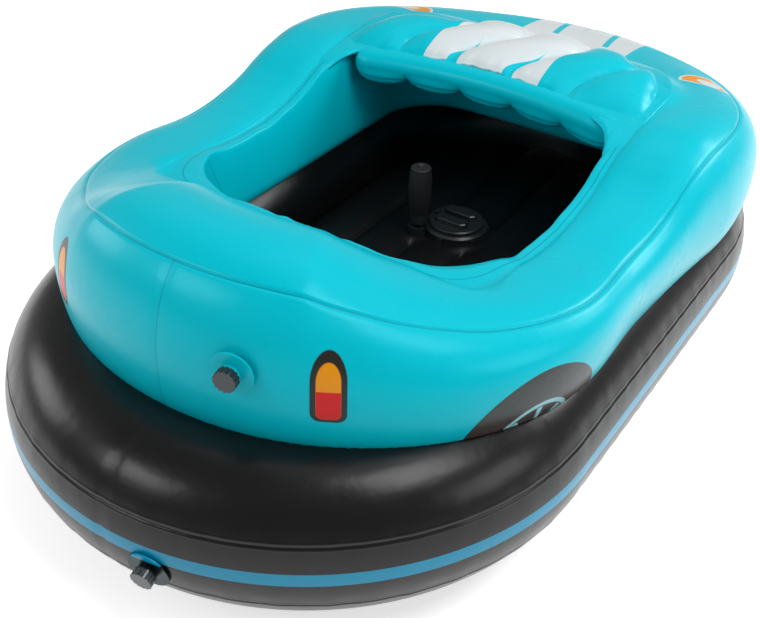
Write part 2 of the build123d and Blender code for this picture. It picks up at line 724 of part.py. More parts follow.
# Joystick base: pedestal with two ears, tied to the collar by a bracket
pedestal_top = floor_top + pedestal_height
pivot_z = pedestal_top + pivot_rise
bracket_turn = atan2(stick_back, -stick_x) * 180 / pi
with BuildPart() as stick_base:
    with BuildSketch(Plane.XY.offset(floor_top)):
        with Locations((stick_x, stick_y)):
            Circle(pedestal_radius)
        with Locations((0, cap_y)):
            Circle(collar_radius + clip_depth + fit_gap, mode=Mode.SUBTRACT)
    extrude(amount=pedestal_height)
    with BuildSketch(Plane.XY.offset(floor_top)):
        with Locations(Location((stick_x / 2, (stick_y + cap_y) / 2), bracket_turn)):
            Rectangle(hypot(stick_x, stick_back), bracket_width)
        with Locations((0, cap_y)):
            Circle(collar_radius + clip_depth + fit_gap, mode=Mode.SUBTRACT)
    extrude(amount=bracket_height)
    with BuildSketch(Plane.XY.offset(pedestal_top)):
        for row in (-1, 1):
            with Locations((stick_x + row * (pin_reach - ear_thickness / 2), stick_y)):
                Rectangle(ear_thickness, ear_width)
    extrude(amount=pivot_rise + ear_top)
    with BuildSketch(Plane.YZ.offset(stick_x)):
        with Locations((stick_y, pivot_z)):
            Circle(pin_radius + running_gap)
    extrude(amount=pin_reach, both=True, mode=Mode.SUBTRACT)
save(stick_base, "stick_base")

with BuildPart() as stick_cross:
    with BuildSketch(Plane.XY.offset(pivot_z - cross_height / 2)):
        with Locations((stick_x, stick_y)):
            Rectangle(cross_block, cross_block)
    extrude(amount=cross_height)
    with BuildSketch(Plane.YZ.offset(stick_x)):
        with Locations((stick_y, pivot_z)):
            Circle(pin_radius)
    extrude(amount=pin_reach, both=True)
    with BuildSketch(Plane.XZ.offset(-stick_y)):
        with Locations((stick_x, pivot_z)):
            Circle(pin_radius)
    extrude(amount=pin_reach, both=True)
save(stick_cross, "stick_cross")

with BuildPart() as stick_fork:
    with BuildSketch(Plane.XY.offset(pivot_z + fork_rise)):
        with Locations((stick_x, stick_y)):
            Circle(skirt_radius - skirt_wall)
    extrude(amount=fork_plate)
    with BuildSketch(Plane.XY.offset(pivot_z - ear_width / 2)):
        for row in (-1, 1):
            with Locations((stick_x, stick_y + row * (pin_reach - ear_thickness / 2))):
                Rectangle(ear_width, ear_thickness)
    extrude(amount=ear_width / 2 + fork_rise)
    with BuildSketch(Plane.XY.offset(pivot_z + fork_rise)):
        with Locations((stick_x, stick_y)):
            Circle(stick_rod_radius)
    extrude(amount=stick_rod_length)
    with BuildSketch(Plane.XZ.offset(-stick_y)):
        with Locations((stick_x, pivot_z)):
            Circle(pin_radius + running_gap)
    extrude(amount=pin_reach, both=True, mode=Mode.SUBTRACT)
save(stick_fork, "stick_fork")

grip_bottom = pivot_z + fork_rise + fork_plate
grip_top = grip_bottom + grip_length
with BuildPart() as stick_skirt:
    with BuildSketch(Plane.XY.offset(pivot_z - skirt_drop)):
        with Locations((stick_x, stick_y)):
            Circle(skirt_radius)
            Circle(skirt_radius - skirt_wall, mode=Mode.SUBTRACT)
    extrude(amount=grip_bottom - pivot_z + skirt_drop)
save(stick_skirt, "stick_skirt")

# Grip: a barrel that swells from the skirt, with a bevelled shoulder below its flat top
with BuildPart() as stick_grip:
    with BuildSketch(Plane.XZ.offset(-stick_y)):
        with BuildLine():
            flank = ThreePointArc((stick_x + skirt_radius, grip_bottom),
                                  (stick_x + grip_radius, grip_bottom + grip_belly_rise),
                                  (stick_x + grip_shoulder_radius, grip_top - grip_shoulder_drop))
            Polyline(flank @ 1, (stick_x + grip_shoulder_radius, grip_top - grip_bezel),
                     (stick_x + grip_shoulder_radius - grip_bezel, grip_top), (stick_x, grip_top),
                     (stick_x, grip_bottom), flank @ 0)
        make_face()
    revolve(axis=Axis((stick_x, stick_y, 0), (0, 0, 1)))
    with BuildSketch(Plane.XY.offset(grip_bottom)):
        with Locations((stick_x, stick_y)):
            Circle(stick_rod_radius)
    extrude(amount=stick_rod_length - fork_plate, mode=Mode.SUBTRACT)
save(stick_grip, "stick_grip")

with BuildPart() as stick_button:
    with BuildSketch(Plane.XY.offset(grip_top)):
        with Locations((stick_x, stick_y)):
            Circle(button_radius)
    extrude(amount=button_height)
save(stick_button, "stick_button")


def wall_plane(along_x, centre_y, centre_x, plan_radius, height, lean):
    """Plane on a round end wall at the tail, facing out, leaned down by an angle in degrees."""
    away = Vector(along_x - centre_x, -((plan_radius**2 - (along_x - centre_x)**2) ** 0.5), 0)
    tilted = away.normalized().rotate(Axis((0, 0, 0), Vector(0, 0, 1).cross(away)), lean)
    return Plane(origin=(along_x, centre_y + away.Y, height), x_dir=Vector(0, 0, 1).cross(away), z_dir=tilted)


# Air valves: a welded flange with its barrel, and a screw cap, on the tail of the body and of the ring
ring_wall_reach = (1 - (ring_valve_drop / (ring_tube_height / 2)) ** 2) ** 0.5
side_lean = atan2(hull_front_half_width - hull_tail_half_width, hull_nose_y - hull_tail_y)
hull_corner_x = hull_tail_half_width - hull_tail_radius / tan(pi / 4 + side_lean / 2)
valve_planes = {
    "body": wall_plane(body_valve_x, tail_centre_y, hull_corner_x, hull_tail_radius, body_valve_z, 0),
    "ring": wall_plane(ring_valve_x, -ring_half_straight, 0,
                       tube_path_x + ring_tube_width / 2 * ring_wall_reach, ring_valve_z, ring_valve_lean),
}
for label, wall in valve_planes.items():
    with BuildPart() as valve_seat:
        with BuildSketch(wall.offset(fit_gap)):
            Circle(valve_flange_radius)
        extrude(amount=valve_flange_thickness)
        with BuildSketch(wall.offset(fit_gap + valve_flange_thickness)):
            Circle(valve_barrel_radius)
        extrude(amount=valve_barrel_length)
    save(valve_seat, f"{label}_valve_seat")

    with BuildPart() as valve_cap:
        with BuildSketch(wall.offset(fit_gap + valve_flange_thickness + valve_barrel_length)):
            Circle(valve_cap_radius)
            with PolarLocations(valve_cap_radius, valve_notches):
                Circle(valve_notch_radius, mode=Mode.SUBTRACT)
        extrude(amount=valve_cap_length)
    save(valve_cap, f"{label}_valve_cap")
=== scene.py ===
import json
from math import asin, cos, hypot, pi, radians, sin

import bpy
import numpy as np
from mathutils import Matrix, Vector


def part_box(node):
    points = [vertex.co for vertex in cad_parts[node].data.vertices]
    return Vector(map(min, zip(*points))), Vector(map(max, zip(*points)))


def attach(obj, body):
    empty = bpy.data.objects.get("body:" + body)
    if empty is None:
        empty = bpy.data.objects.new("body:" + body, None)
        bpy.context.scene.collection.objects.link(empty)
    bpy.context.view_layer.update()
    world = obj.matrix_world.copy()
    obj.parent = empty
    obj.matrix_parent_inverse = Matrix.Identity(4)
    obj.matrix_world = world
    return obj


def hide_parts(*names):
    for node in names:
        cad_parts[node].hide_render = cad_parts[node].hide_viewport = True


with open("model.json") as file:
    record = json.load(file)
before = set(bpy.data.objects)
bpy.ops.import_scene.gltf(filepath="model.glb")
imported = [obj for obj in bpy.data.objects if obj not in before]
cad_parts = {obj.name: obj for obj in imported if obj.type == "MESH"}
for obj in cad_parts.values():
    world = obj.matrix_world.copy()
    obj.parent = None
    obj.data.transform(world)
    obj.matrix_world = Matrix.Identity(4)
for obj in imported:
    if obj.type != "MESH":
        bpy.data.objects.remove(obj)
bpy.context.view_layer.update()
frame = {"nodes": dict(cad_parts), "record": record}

# Sizes read from the frame, in metres
ring_low, ring_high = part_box("bumper_tube")
floor_low, floor_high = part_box("floor_panel")
collar_low, collar_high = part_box("clamp_collar")
stick_low, stick_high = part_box("stick_base")
DASH_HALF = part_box("dash_panel")[1].x
LIP_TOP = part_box("dash_lip")[1].z
RING_HALF_WIDTH = ring_high.x
RING_STRAIGHT = ring_high.y - ring_high.x
RING_MID_Z = (ring_low.z + ring_high.z) / 2
RING_HALF_TALL = (ring_high.z - ring_low.z) / 2
RING_LOOP = 4 * RING_STRAIGHT + 2 * pi * RING_HALF_WIDTH
RING_INNER = floor_high.x
TUBE_HALF = (RING_HALF_WIDTH - RING_INNER) / 2
CAP_Y = (collar_low.y + collar_high.y) / 2
STICK_X, STICK_Y = (stick_low.x + stick_high.x) / 2, (stick_low.y + stick_high.y) / 2


# Small mathematics
OCTAVE_STEP = 1.7
RAY_HALVINGS, RAY_MOST = 40, 2.0


def ease(x, low, high):
    """Smooth step from 0 at low to 1 at high."""
    s = np.clip((np.asarray(x, float) - low) / (high - low), 0, 1)
    return s * s * (3 - 2 * s)


def hump(x, width):
    """Bell curve that is 1 at zero."""
    return np.exp(-(x / width) ** 2)


def curve_through(knots, values, at):
    """Monotone cubic curve through the knots, flat where the values turn back."""
    knots, values, at = np.asarray(knots, float), np.asarray(values, float), np.asarray(at, float)
    step = np.diff(knots)
    slope = np.diff(values) / step
    left, right = slope[:-1], slope[1:]
    both = left * right > 0
    inner = np.where(both, 2 * left * right / np.where(both, left + right, 1), 0)
    tangent = np.concatenate(([0], inner, [0]))
    i = np.clip(np.searchsorted(knots, at) - 1, 0, len(step) - 1)
    s = (at - knots[i]) / step[i]
    return (values[i] * (1 + 2 * s) * (1 - s) ** 2 + tangent[i] * step[i] * s * (1 - s) ** 2
            + values[i + 1] * s * s * (3 - 2 * s) - tangent[i + 1] * step[i] * s * s * (1 - s))


def table(rows, at):
    """Curve through rows of a place and its value."""
    return curve_through([r[0] for r in rows], [r[1] for r in rows], at)


def bezier(a, b, c, d, s):
    s = s[:, None]
    return a * (1 - s) ** 3 + 3 * b * s * (1 - s) ** 2 + 3 * c * s * s * (1 - s) + d * s ** 3


def quarter_turn(count):
    """Angles up to a right angle, without the zero."""
    return np.linspace(0, 1, count)[1:] * pi / 2


def waves(x, seed, longest, octaves=3):
    """Repeatable uneven waves between about -1 and 1 along a length."""
    rng = np.random.default_rng(seed)
    total = np.zeros_like(np.asarray(x, float))
    for octave in range(octaves):
        turn = 2 * pi * x * OCTAVE_STEP ** octave / longest
        total += np.sin(turn + rng.uniform(0, 2 * pi)) / (1 + octave)
    return total / 2


def mesh_piece(name, points, faces):
    """Smooth mesh object from points and faces, riding on the root body."""
    mesh = bpy.data.meshes.new(name)
    mesh.from_pydata([tuple(p) for p in points], [], [tuple(f) for f in faces])
    mesh.polygons.foreach_set("use_smooth", [True] * len(mesh.polygons))
    mesh.update()
    piece = bpy.data.objects.new(name, mesh)
    bpy.context.scene.collection.objects.link(piece)
    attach(piece, "root")
    return piece


def net_faces(rows, columns, close_rows=False, close_columns=False):
    """Quads of a net of rows by columns points, closed on itself where asked."""
    faces = []
    for r in range(rows if close_rows else rows - 1):
        for c in range(columns if close_columns else columns - 1):
            a, b = r * columns + c, r * columns + (c + 1) % columns
            n = (r + 1) % rows
            faces.append((a, b, n * columns + (c + 1) % columns, n * columns + c))
    return faces


def closed_sheet(rows, columns):
    """Faces of a sheet whose under side repeats its upper points, joined round the border."""
    faces = net_faces(rows, columns)
    count = rows * columns
    faces += [tuple(count + i for i in reversed(f)) for f in faces]
    border = list(range(columns)) + [r * columns + columns - 1 for r in range(1, rows)]
    border += [(rows - 1) * columns + c for c in range(columns - 2, -1, -1)]
    border += [r * columns for r in range(rows - 2, 0, -1)]
    after = border[1:] + border[:1]
    return faces + [(b, a, count + a, count + b) for a, b in zip(border, after)]


# Round ends and straight sides, shared by the ring and the body. Loop values start at the tail with 0,
# reach the ends of the right side at 1 and 2 and the nose at 3, and come back along the left side to 6.
LOOP_NOSE, LOOP_END = 3, 6


def stations(around, tail_y, nose_y):
    """Loop value folded onto the right side, axis point and outward direction, for loop values."""
    t = np.where(around <= LOOP_NOSE, around, LOOP_END - around)
    sign = np.where(around <= LOOP_NOSE, 1.0, -1.0)
    turn = pi / 2 * (np.clip(t, 0, 1) + np.clip(t - 2, 0, 1))
    axis_y = tail_y + (nose_y - tail_y) * np.clip(t - 1, 0, 1)
    return t, axis_y, sign * np.sin(turn), -np.cos(turn)


def placed(dx, dy, axis_y, out, height):
    """Points of one station's section in space."""
    return np.stack((dx * out, axis_y + dy * out, height), 1)


def ray_to_bay(axis_y, dx, dy, half_width, tail_y, nose_y, corners):
    """Distance along each direction from the centre line to a rounded outline."""
    low, high = np.zeros_like(dx), np.full_like(dx, RAY_MOST)
    mid_y, half_long = (tail_y + nose_y) / 2, (nose_y - tail_y) / 2
    for _ in range(RAY_HALVINGS):
        reach = (low + high) / 2
        y = axis_y + reach * dy - mid_y
        corner = np.where(y < 0, *corners)
        qx, qy = np.abs(reach * dx) - half_width + corner, np.abs(y) - half_long + corner
        gap = np.hypot(np.maximum(qx, 0), np.maximum(qy, 0)) + np.minimum(np.maximum(qx, qy), 0)
        low, high = np.where(gap < corner, reach, low), np.where(gap < corner, high, reach)
    return low


# Bumper ring, pressed flat where the body sits on it. Its rows stand closer at the seams and at the seat.
RING_STATIONS = 420
RING_TURNS = 90
RING_SEAT, RING_SEAT_TURNS = (.6, 2.3), 75
RING_POWER = 2.08
RING_SEAM_Z = .213
RING_SEAM_DEPTH, RING_SEAM_WIDTH = .0011, .0018
RING_SEAM_REACH, RING_SEAM_TURNS = .06, 17
RING_BEAD, RING_BEAD_AT = .3, 2.4
RING_PUCKER, RING_PUCKER_WIDTH, RING_PUCKER_WAVE, RING_SEED = .0007, .02, .06, 3
RING_WELD_DEPTH, RING_WELD_WIDTH = .0014, .005
CONTACT_SINK = .005


def bumper_ring():
    around = np.linspace(0, LOOP_END, RING_STATIONS, endpoint=False)
    _, axis_y, dx, dy = stations(around, -RING_STRAIGHT, RING_STRAIGHT)
    seam_turn = np.arcsin((RING_SEAM_Z - RING_MID_Z) / RING_HALF_TALL)
    fine = np.linspace(-RING_SEAM_REACH, RING_SEAM_REACH, RING_SEAM_TURNS)
    turns = np.unique(np.round(np.concatenate((
        np.linspace(-pi, pi, RING_TURNS, endpoint=False), seam_turn + fine, fine - seam_turn,
        np.linspace(*RING_SEAT, RING_SEAT_TURNS))), 4))
    turns = turns[turns < pi - 1e-3]
    tall = np.sign(np.sin(turns)) * np.abs(np.sin(turns)) ** (2 / RING_POWER)
    wide = np.sign(np.cos(turns)) * np.abs(np.cos(turns)) ** (2 / RING_POWER)
    off_seam = np.minimum(np.abs(turns - seam_turn), np.abs(turns + seam_turn)) * TUBE_HALF
    groove = RING_SEAM_DEPTH * hump(off_seam, RING_SEAM_WIDTH)
    bead = RING_BEAD * RING_SEAM_DEPTH * hump(off_seam - RING_BEAD_AT * RING_SEAM_WIDTH, RING_SEAM_WIDTH)
    pucker = RING_PUCKER * hump(off_seam, RING_PUCKER_WIDTH)
    along = around * RING_LOOP / LOOP_END
    points = []
    for k in range(RING_STATIONS):
        weld = RING_WELD_DEPTH * hump(min(along[k], RING_LOOP - along[k]), RING_WELD_WIDTH)
        relief = bead - groove + pucker * waves(along[k], RING_SEED, RING_PUCKER_WAVE) - weld
        grow = 1 + relief / TUBE_HALF
        out = RING_INNER + TUBE_HALF * (1 + wide * grow)
        points.append(placed(dx[k], dy[k], axis_y[k], out, RING_MID_Z + RING_HALF_TALL * tall * grow))
    points = np.concatenate(points)
    points[:, 2] = np.minimum(points[:, 2], body_underside(points[:, 0], points[:, 1]) + CONTACT_SINK)
    piece = mesh_piece("inflated_ring", points, net_faces(RING_STATIONS, len(turns), True, True))
    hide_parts("bumper_tube")
    return piece


# Inflated body. Each table gives one feature of its section by loop value, from tail to nose.
HULL_STATIONS = 480
BELLY_ROWS, SHELL_ROWS, CROWN_ROWS, FLANGE_ROWS = 24, 28, 26, 5
WALL_ROWS, HEM_ROWS, SOLE_ROWS = 16, 7, 6
HULL_TAIL_AXIS, HULL_NOSE_AXIS = -.219, .215
BULGE = ((0, .465), (.33, .472), (.67, .477), (1, .476), (1.27, .472), (1.54, .477), (2, .4965),
         (2.25, .516), (2.5, .528), (2.75, .538), (3, .544))
BULGE_Z = ((0, .358), (1, .355), (1.54, .351), (2, .355), (2.25, .3585), (2.5, .363), (2.75, .373),
           (3, .381))
CREST = ((0, .340), (.3, .340), (.5, .335), (.7, .365), (1, .400), (1.25, .392), (1.54, .400), (2, .397),
         (2.25, .405), (2.5, .390), (2.75, .370), (3, .351))
CREST_Z = ((0, .535), (.15, .533), (.28, .526), (.34, .512), (.40, .498), (.49, .475), (.57, .459),
           (.66, .444), (.74, .434), (.83, .425), (1, .4135), (1.25, .406), (1.4, .4095), (1.54, .4205),
           (1.65, .436), (1.75, .456), (1.85, .4705), (2, .4815), (2.1, .480), (2.25, .471), (2.5, .452),
           (2.75, .435), (3, .4295))
CREASE_TILT = ((0, 36), (.4, 40), (.7, 52), (1, 60), (1.25, 55), (1.5, 60), (1.9, 52), (2.1, 10),
               (2.25, -15), (2.5, -28), (3, -38))
HULL_POWER = ((0, 2.3), (1, 2.15), (2, 2.17), (2.5, 2.24), (3, 2.24))

# Plan outlines: the crease at the crown's foot, the edge of the flat flange, and the cockpit's wall
RIM = dict(half_width=.316, tail_y=-.352, nose_y=.480, corners=(.06, .175))
EDGE = dict(half_width=.294, tail_y=-.330, nose_y=.445, corners=(.145, .150))
INNER = dict(half_width=.283, tail_y=-.318, nose_y=.465, corners=(.11, .120))
INNER_Z = .290
UNDER_Z, NO_BODY_Z = .258, 1.0
UNDER_ROUND = .030
HEM_ROUND = .026

# Welds: the top seam between two low beads, the line along the flange, and upright ones at tail and nose
SEAM_TURN = radians(57)
BODY_SEAM_DEPTH, BODY_SEAM_WIDTH = .0016, .0032
BODY_SEAM_REACH, BODY_SEAM_TURNS = .045, 9
ARC_SHARE = .8
BODY_BEAD, BODY_BEAD_AT, BODY_BEAD_WIDTH = .4, .009, .005
FLANGE_WELD = .45
UPRIGHT_PULL, UPRIGHT_WIDTH, UPRIGHT_SCALE = .0022, .004, .7

# The crown's inner slope, and the flange, which ripples round the seat and sinks under the quilt
CROWN_PULL, CROWN_PULL_MOST, CROWN_LEAN_LEAST, CROWN_CROWD = .42, .95, .1, .9
WALL_POWER = .9
FLANGE_LIFT, FLANGE_SWELL = .001, .0012
FLANGE_RIPPLE, RIPPLE_RUN, RIPPLE_WAVE, RIPPLE_FADE, RIPPLE_SEED = .0024, 4.0, .17, (.10, .16), 7
FLANGE_SINK, SINK_RANGE = .009, (.165, .205)

# Height of the crease round the cockpit and of the quilt's foot, along the car
RIM_WAVE = ((-.36, .413), (-.28, .4145), (-.24, .411), (-.2, .403), (-.16, .398), (-.12, .395),
            (-.08, .3955), (-.04, .399), (0, .406), (.04, .417), (.08, .434), (.12, .449), (.16, .461),
            (.2, .467), (.25, .471), (.32, .4765), (.36, .479), (.4, .478), (.44, .473), (.485, .463))


def hull_section(bulge, bulge_z, crest, crest_z, tilt, power, rim, edge, inner, rim_z, edge_z):
    """Closed section of the body as distance out and height, and its distances from welds."""
    under = np.linspace(-1, 0, BELLY_ROWS, endpoint=False) * pi / 2
    belly = np.stack((bulge - UNDER_ROUND * (1 - np.cos(under)),
                      bulge_z + (bulge_z - UNDER_Z) * np.sin(under)), 1)

    near = np.linspace(-BODY_SEAM_REACH, BODY_SEAM_REACH, BODY_SEAM_TURNS)
    turn = np.unique(np.round(np.concatenate((
        np.linspace(0, pi / 2, SHELL_ROWS, endpoint=False), SEAM_TURN + near)), 4))
    wide, tall = np.cos(turn) ** (2 / power), np.sin(turn) ** (2 / power)
    off = (turn - SEAM_TURN) * hypot(bulge - crest, crest_z - bulge_z) * ARC_SHARE
    dent = -BODY_SEAM_DEPTH * hump(off, BODY_SEAM_WIDTH)
    dent += BODY_BEAD * BODY_SEAM_DEPTH * hump(np.abs(off) - BODY_BEAD_AT, BODY_BEAD_WIDTH)
    normal = np.stack((wide, tall), 1)
    shell = np.stack((crest + (bulge - crest) * wide, bulge_z + (crest_z - bulge_z) * tall), 1)
    shell += dent[:, None] * normal / np.linalg.norm(normal, axis=1)[:, None]

    top, foot = np.array((crest, crest_z)), np.array((rim, rim_z))
    span, rise = crest - rim, abs(crest_z - rim_z)
    lean = radians(tilt)
    handle = CROWN_PULL * hypot(span, rise)
    if tilt > 0:
        handle = min(handle, CROWN_PULL_MOST * rise / max(sin(lean), CROWN_LEAN_LEAST))
    crown = bezier(top, top - (span * .5, 0), foot + np.array((cos(lean), sin(lean))) * handle, foot,
                   np.linspace(0, 1, CROWN_ROWS) ** CROWN_CROWD)[:-1]

    share = np.linspace(0, 1, FLANGE_ROWS)[:, None]
    flange = foot * (1 - share) + np.array((edge, edge_z)) * share
    flange[:, 1] += FLANGE_SWELL * np.sin(pi * share[:, 0]) ** 2

    drop = quarter_turn(WALL_ROWS)
    wall = np.stack((inner + (edge - inner) * (1 - np.sin(drop)) ** WALL_POWER,
                     edge_z - (edge_z - INNER_Z) * (1 - np.cos(drop))), 1)
    tuck = quarter_turn(HEM_ROWS)
    hem = np.stack((inner + HEM_ROUND * (1 - np.cos(tuck)),
                    INNER_Z - (INNER_Z - UNDER_Z) * np.sin(tuck)), 1)
    base = np.linspace(0, 1, SOLE_ROWS)[1:-1, None]
    sole = hem[-1] * (1 - base) + belly[0] * base

    # Rows away from every weld are marked with 1, and those below the top seam with less than 0
    off_flange = (share[:, 0] - FLANGE_WELD) * (rim - edge)
    strips = ((belly, -1.0), (shell, off), (crown, 1.0), (flange, off_flange), (wall, 1.0), (hem, 1.0),
              (sole, 1.0))
    return (np.concatenate([rows for rows, _ in strips]),
            np.concatenate([np.broadcast_to(from_weld, len(rows)) for rows, from_weld in strips]))


def body_underside(x, y):
    """Height of the body's under side over points of the ring; high above where there is no body."""
    axis_y = np.clip(y, HULL_TAIL_AXIS, HULL_NOSE_AXIS)
    out = np.hypot(x, y - axis_y)
    dx, dy = x / out, (y - axis_y) / out
    quarter = np.arcsin(np.clip(np.abs(dy), 0, 1)) / (pi / 2)
    t = np.where(y < HULL_TAIL_AXIS, 1 - quarter, np.where(
        y > HULL_NOSE_AXIS, 2 + quarter, 1 + (y - HULL_TAIL_AXIS) / (HULL_NOSE_AXIS - HULL_TAIL_AXIS)))
    height = np.full_like(x, UNDER_Z)
    for inset, depth, side_z in ((table(BULGE, t) - out, UNDER_ROUND, table(BULGE_Z, t)),
                                 (out - ray_to_bay(axis_y, dx, dy, **INNER), HEM_ROUND, INNER_Z)):
        share = np.clip(inset / depth, 0, 1)
        height = np.maximum(height, side_z - (side_z - UNDER_Z) * np.sqrt(1 - (1 - share) ** 2))
        height = np.where(inset < 0, NO_BODY_Z, height)
    return height


def inflated_body():
    around = np.linspace(0, LOOP_END, HULL_STATIONS, endpoint=False)
    t, axis_y, dx, dy = stations(around, HULL_TAIL_AXIS, HULL_NOSE_AXIS)
    rim, edge, inner = (ray_to_bay(axis_y, dx, dy, **bay) for bay in (RIM, EDGE, INNER))
    edge_y = axis_y + dy * edge
    ripple = waves(np.linspace(0, RIPPLE_RUN, HULL_STATIONS), RIPPLE_SEED, RIPPLE_WAVE, octaves=2)
    ripple *= FLANGE_RIPPLE * (1 - ease(edge_y, *RIPPLE_FADE))
    rim_z = table(RIM_WAVE, axis_y + dy * rim)
    edge_z = table(RIM_WAVE, edge_y) + FLANGE_LIFT + ripple - FLANGE_SINK * ease(edge_y, *SINK_RANGE)
    curves = [table(rows, t) for rows in (BULGE, BULGE_Z, CREST, CREST_Z, CREASE_TILT, HULL_POWER)]
    curves += [rim, edge, inner, rim_z, edge_z]
    points, from_welds = [], []
    for k in range(HULL_STATIONS):
        section, from_weld = hull_section(*(curve[k] for curve in curves))
        from_upright = min(around[k], LOOP_END - around[k], abs(around[k] - LOOP_NOSE)) * UPRIGHT_SCALE
        section[from_weld < 0] *= 1 - UPRIGHT_PULL * hump(from_upright, UPRIGHT_WIDTH)
        points.append(placed(dx[k], dy[k], axis_y[k], section[:, 0], section[:, 1]))
        from_welds.append(from_weld)
    faces = net_faces(HULL_STATIONS, len(points[0]), True, True)
    piece = mesh_piece("inflated_body", np.concatenate(points), faces)
    weld_line = piece.data.attributes.new("weld_line", "FLOAT", "POINT")
    weld_line.data.foreach_set("value", np.concatenate(from_welds))
    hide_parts("body_hull")
    return piece


# Dashboard: one sheet of five fanning channels between the hood and the cockpit
QUILT_ACROSS, QUILT_ALONG, QUILT_CROWD = 240, 90, 1.15
QUILT_HALF, QUILT_NOSE, QUILT_CORNER = .320, .484, .177
# The sheet's rear edge and the hood end of its channels, as x and y
QUILT_EDGE = ((-.32, .100), (-.292, .125), (-.281, .172), (-.265, .200), (-.202, .228), (-.152, .238),
              (-.079, .2465), (-.017, .2505), (.04, .250), (.114, .239), (.176, .2205), (.202, .210),
              (.236, .191), (.264, .168), (.281, .140), (.292, .110), (.32, .095))
QUILT_LIMB = ((-.304, .270), (-.290, .325), (-.255, .370), (-.215, .392), (-.168, .406), (-.143, .438),
              (-.097, .468), (-.045, .472), (.005, .475), (.060, .479), (.100, .478), (.140, .466),
              (.184, .444), (.208, .416), (.235, .404), (.258, .392), (.290, .342), (.304, .280))
CHANNELS = 5
CHANNEL_TAILS = (.222, .236, .240, .243, .230)
DOME_HIGH = (.024, .027, .027, .027, .026)
DOME_TAIL_POWER, DOME_NOSE_POWER = .75, 2.6
DOME_SIDE_POWER, DOME_SIDE_ROUND, DOME_OUTER_ROUND = 2.3, .55, .35
# Each valley's x near the cockpit and at the hood, and the stretch of y over which it changes
VALLEYS = ((-.303, -.303), (-.200, -.128), (-.089, -.012), (.034, .110), (.163, .240), (.303, .303))
VALLEY_DRIFT = (.265, .400)
# Unevenness of the sheet: its scalloped edge, sunken rear horns, drooping hem, puckers and side creases
SCALLOP, SCALLOP_WAVE, SCALLOP_END, SCALLOP_FADE, SCALLOP_SEED = .0028, .055, .26, .04, 11
SHEET_LIFT, SHEET_THICK = .0022, .004
HORN_SINK, HORN_Y, HORN_X = .005, (.100, .145), (.27, .29)
DROOP, DROOP_WIDTH = .0035, .006
QUILT_PUCKER, QUILT_PUCKER_WIDTH, QUILT_PUCKER_WAVE, QUILT_SEED = .0013, .025, .040, 5
CREASE, CREASE_X, CREASE_WIDTH, CREASE_Y = .0016, .30, .014, (.15, .2)
CREASE_WAVE, CREASE_SLANT, CREASE_SEED = .045, .3, 21


def valley_x(number, y):
    """Where a valley lies; the valleys fan out towards the hood."""
    near, far = VALLEYS[number]
    return near + (far - near) * ease(y, *VALLEY_DRIFT)


def dome_height(x, y):
    dome = np.zeros_like(x)
    limb = table(QUILT_LIMB, x)
    for k, (tail, high) in enumerate(zip(CHANNEL_TAILS, DOME_HIGH)):
        left, right = valley_x(k, y), valley_x(k + 1, y)
        u = (2 * x - left - right) / (right - left)
        v = np.clip((2 * y - tail - limb) / (limb - tail), -1, 1)
        swell = np.where(v < 0, np.sin((v + 1) * pi / 2) ** DOME_TAIL_POWER,
                         np.sqrt(np.clip(1 - np.abs(v) ** DOME_NOSE_POWER, 0, 1)))
        outer = (k == 0) * (u < 0) + (k == CHANNELS - 1) * (u > 0)
        bow = np.clip(1 - np.abs(u) ** DOME_SIDE_POWER, 0, 1)
        dome = np.maximum(dome, high * swell * bow ** (DOME_SIDE_ROUND + DOME_OUTER_ROUND * outer))
    return dome


def dashboard():
    x = np.linspace(-1, 1, QUILT_ACROSS) * QUILT_HALF
    past = np.clip(np.abs(x) - QUILT_HALF + QUILT_CORNER, 0, QUILT_CORNER)
    front = QUILT_NOSE - QUILT_CORNER + np.sqrt(QUILT_CORNER ** 2 - past ** 2)
    scallop = waves(x, SCALLOP_SEED, SCALLOP_WAVE) * ease(SCALLOP_END - np.abs(x), 0, SCALLOP_FADE)
    tail = table(QUILT_EDGE, x) + SCALLOP * scallop
    v = np.linspace(0, 1, QUILT_ALONG) ** QUILT_CROWD
    X = np.repeat(x[:, None], QUILT_ALONG, 1)
    Y = tail[:, None] + (front - tail)[:, None] * v[None, :]
    from_edge = Y - tail[:, None]
    lift = SHEET_LIFT - HORN_SINK * (1 - ease(Y, *HORN_Y)) * ease(np.abs(X), *HORN_X)
    droop = DROOP * hump(from_edge, DROOP_WIDTH)
    pucker = QUILT_PUCKER * waves(X, QUILT_SEED, QUILT_PUCKER_WAVE) * hump(from_edge, QUILT_PUCKER_WIDTH)
    creases = waves(Y + CREASE_SLANT * X, CREASE_SEED, CREASE_WAVE) * ease(Y, *CREASE_Y)
    creases *= CREASE * hump(np.abs(X) - CREASE_X, CREASE_WIDTH)
    Z = table(RIM_WAVE, Y) + lift - droop + pucker + creases + dome_height(X, Y)
    top = np.stack((X, Y, Z), 2).reshape(-1, 3)
    under = top - (0, 0, SHEET_THICK)
    faces = closed_sheet(QUILT_ACROSS, QUILT_ALONG)
    piece = mesh_piece("padded_dashboard", np.concatenate((top, under)), faces)
    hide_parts("dash_panel")
    return piece


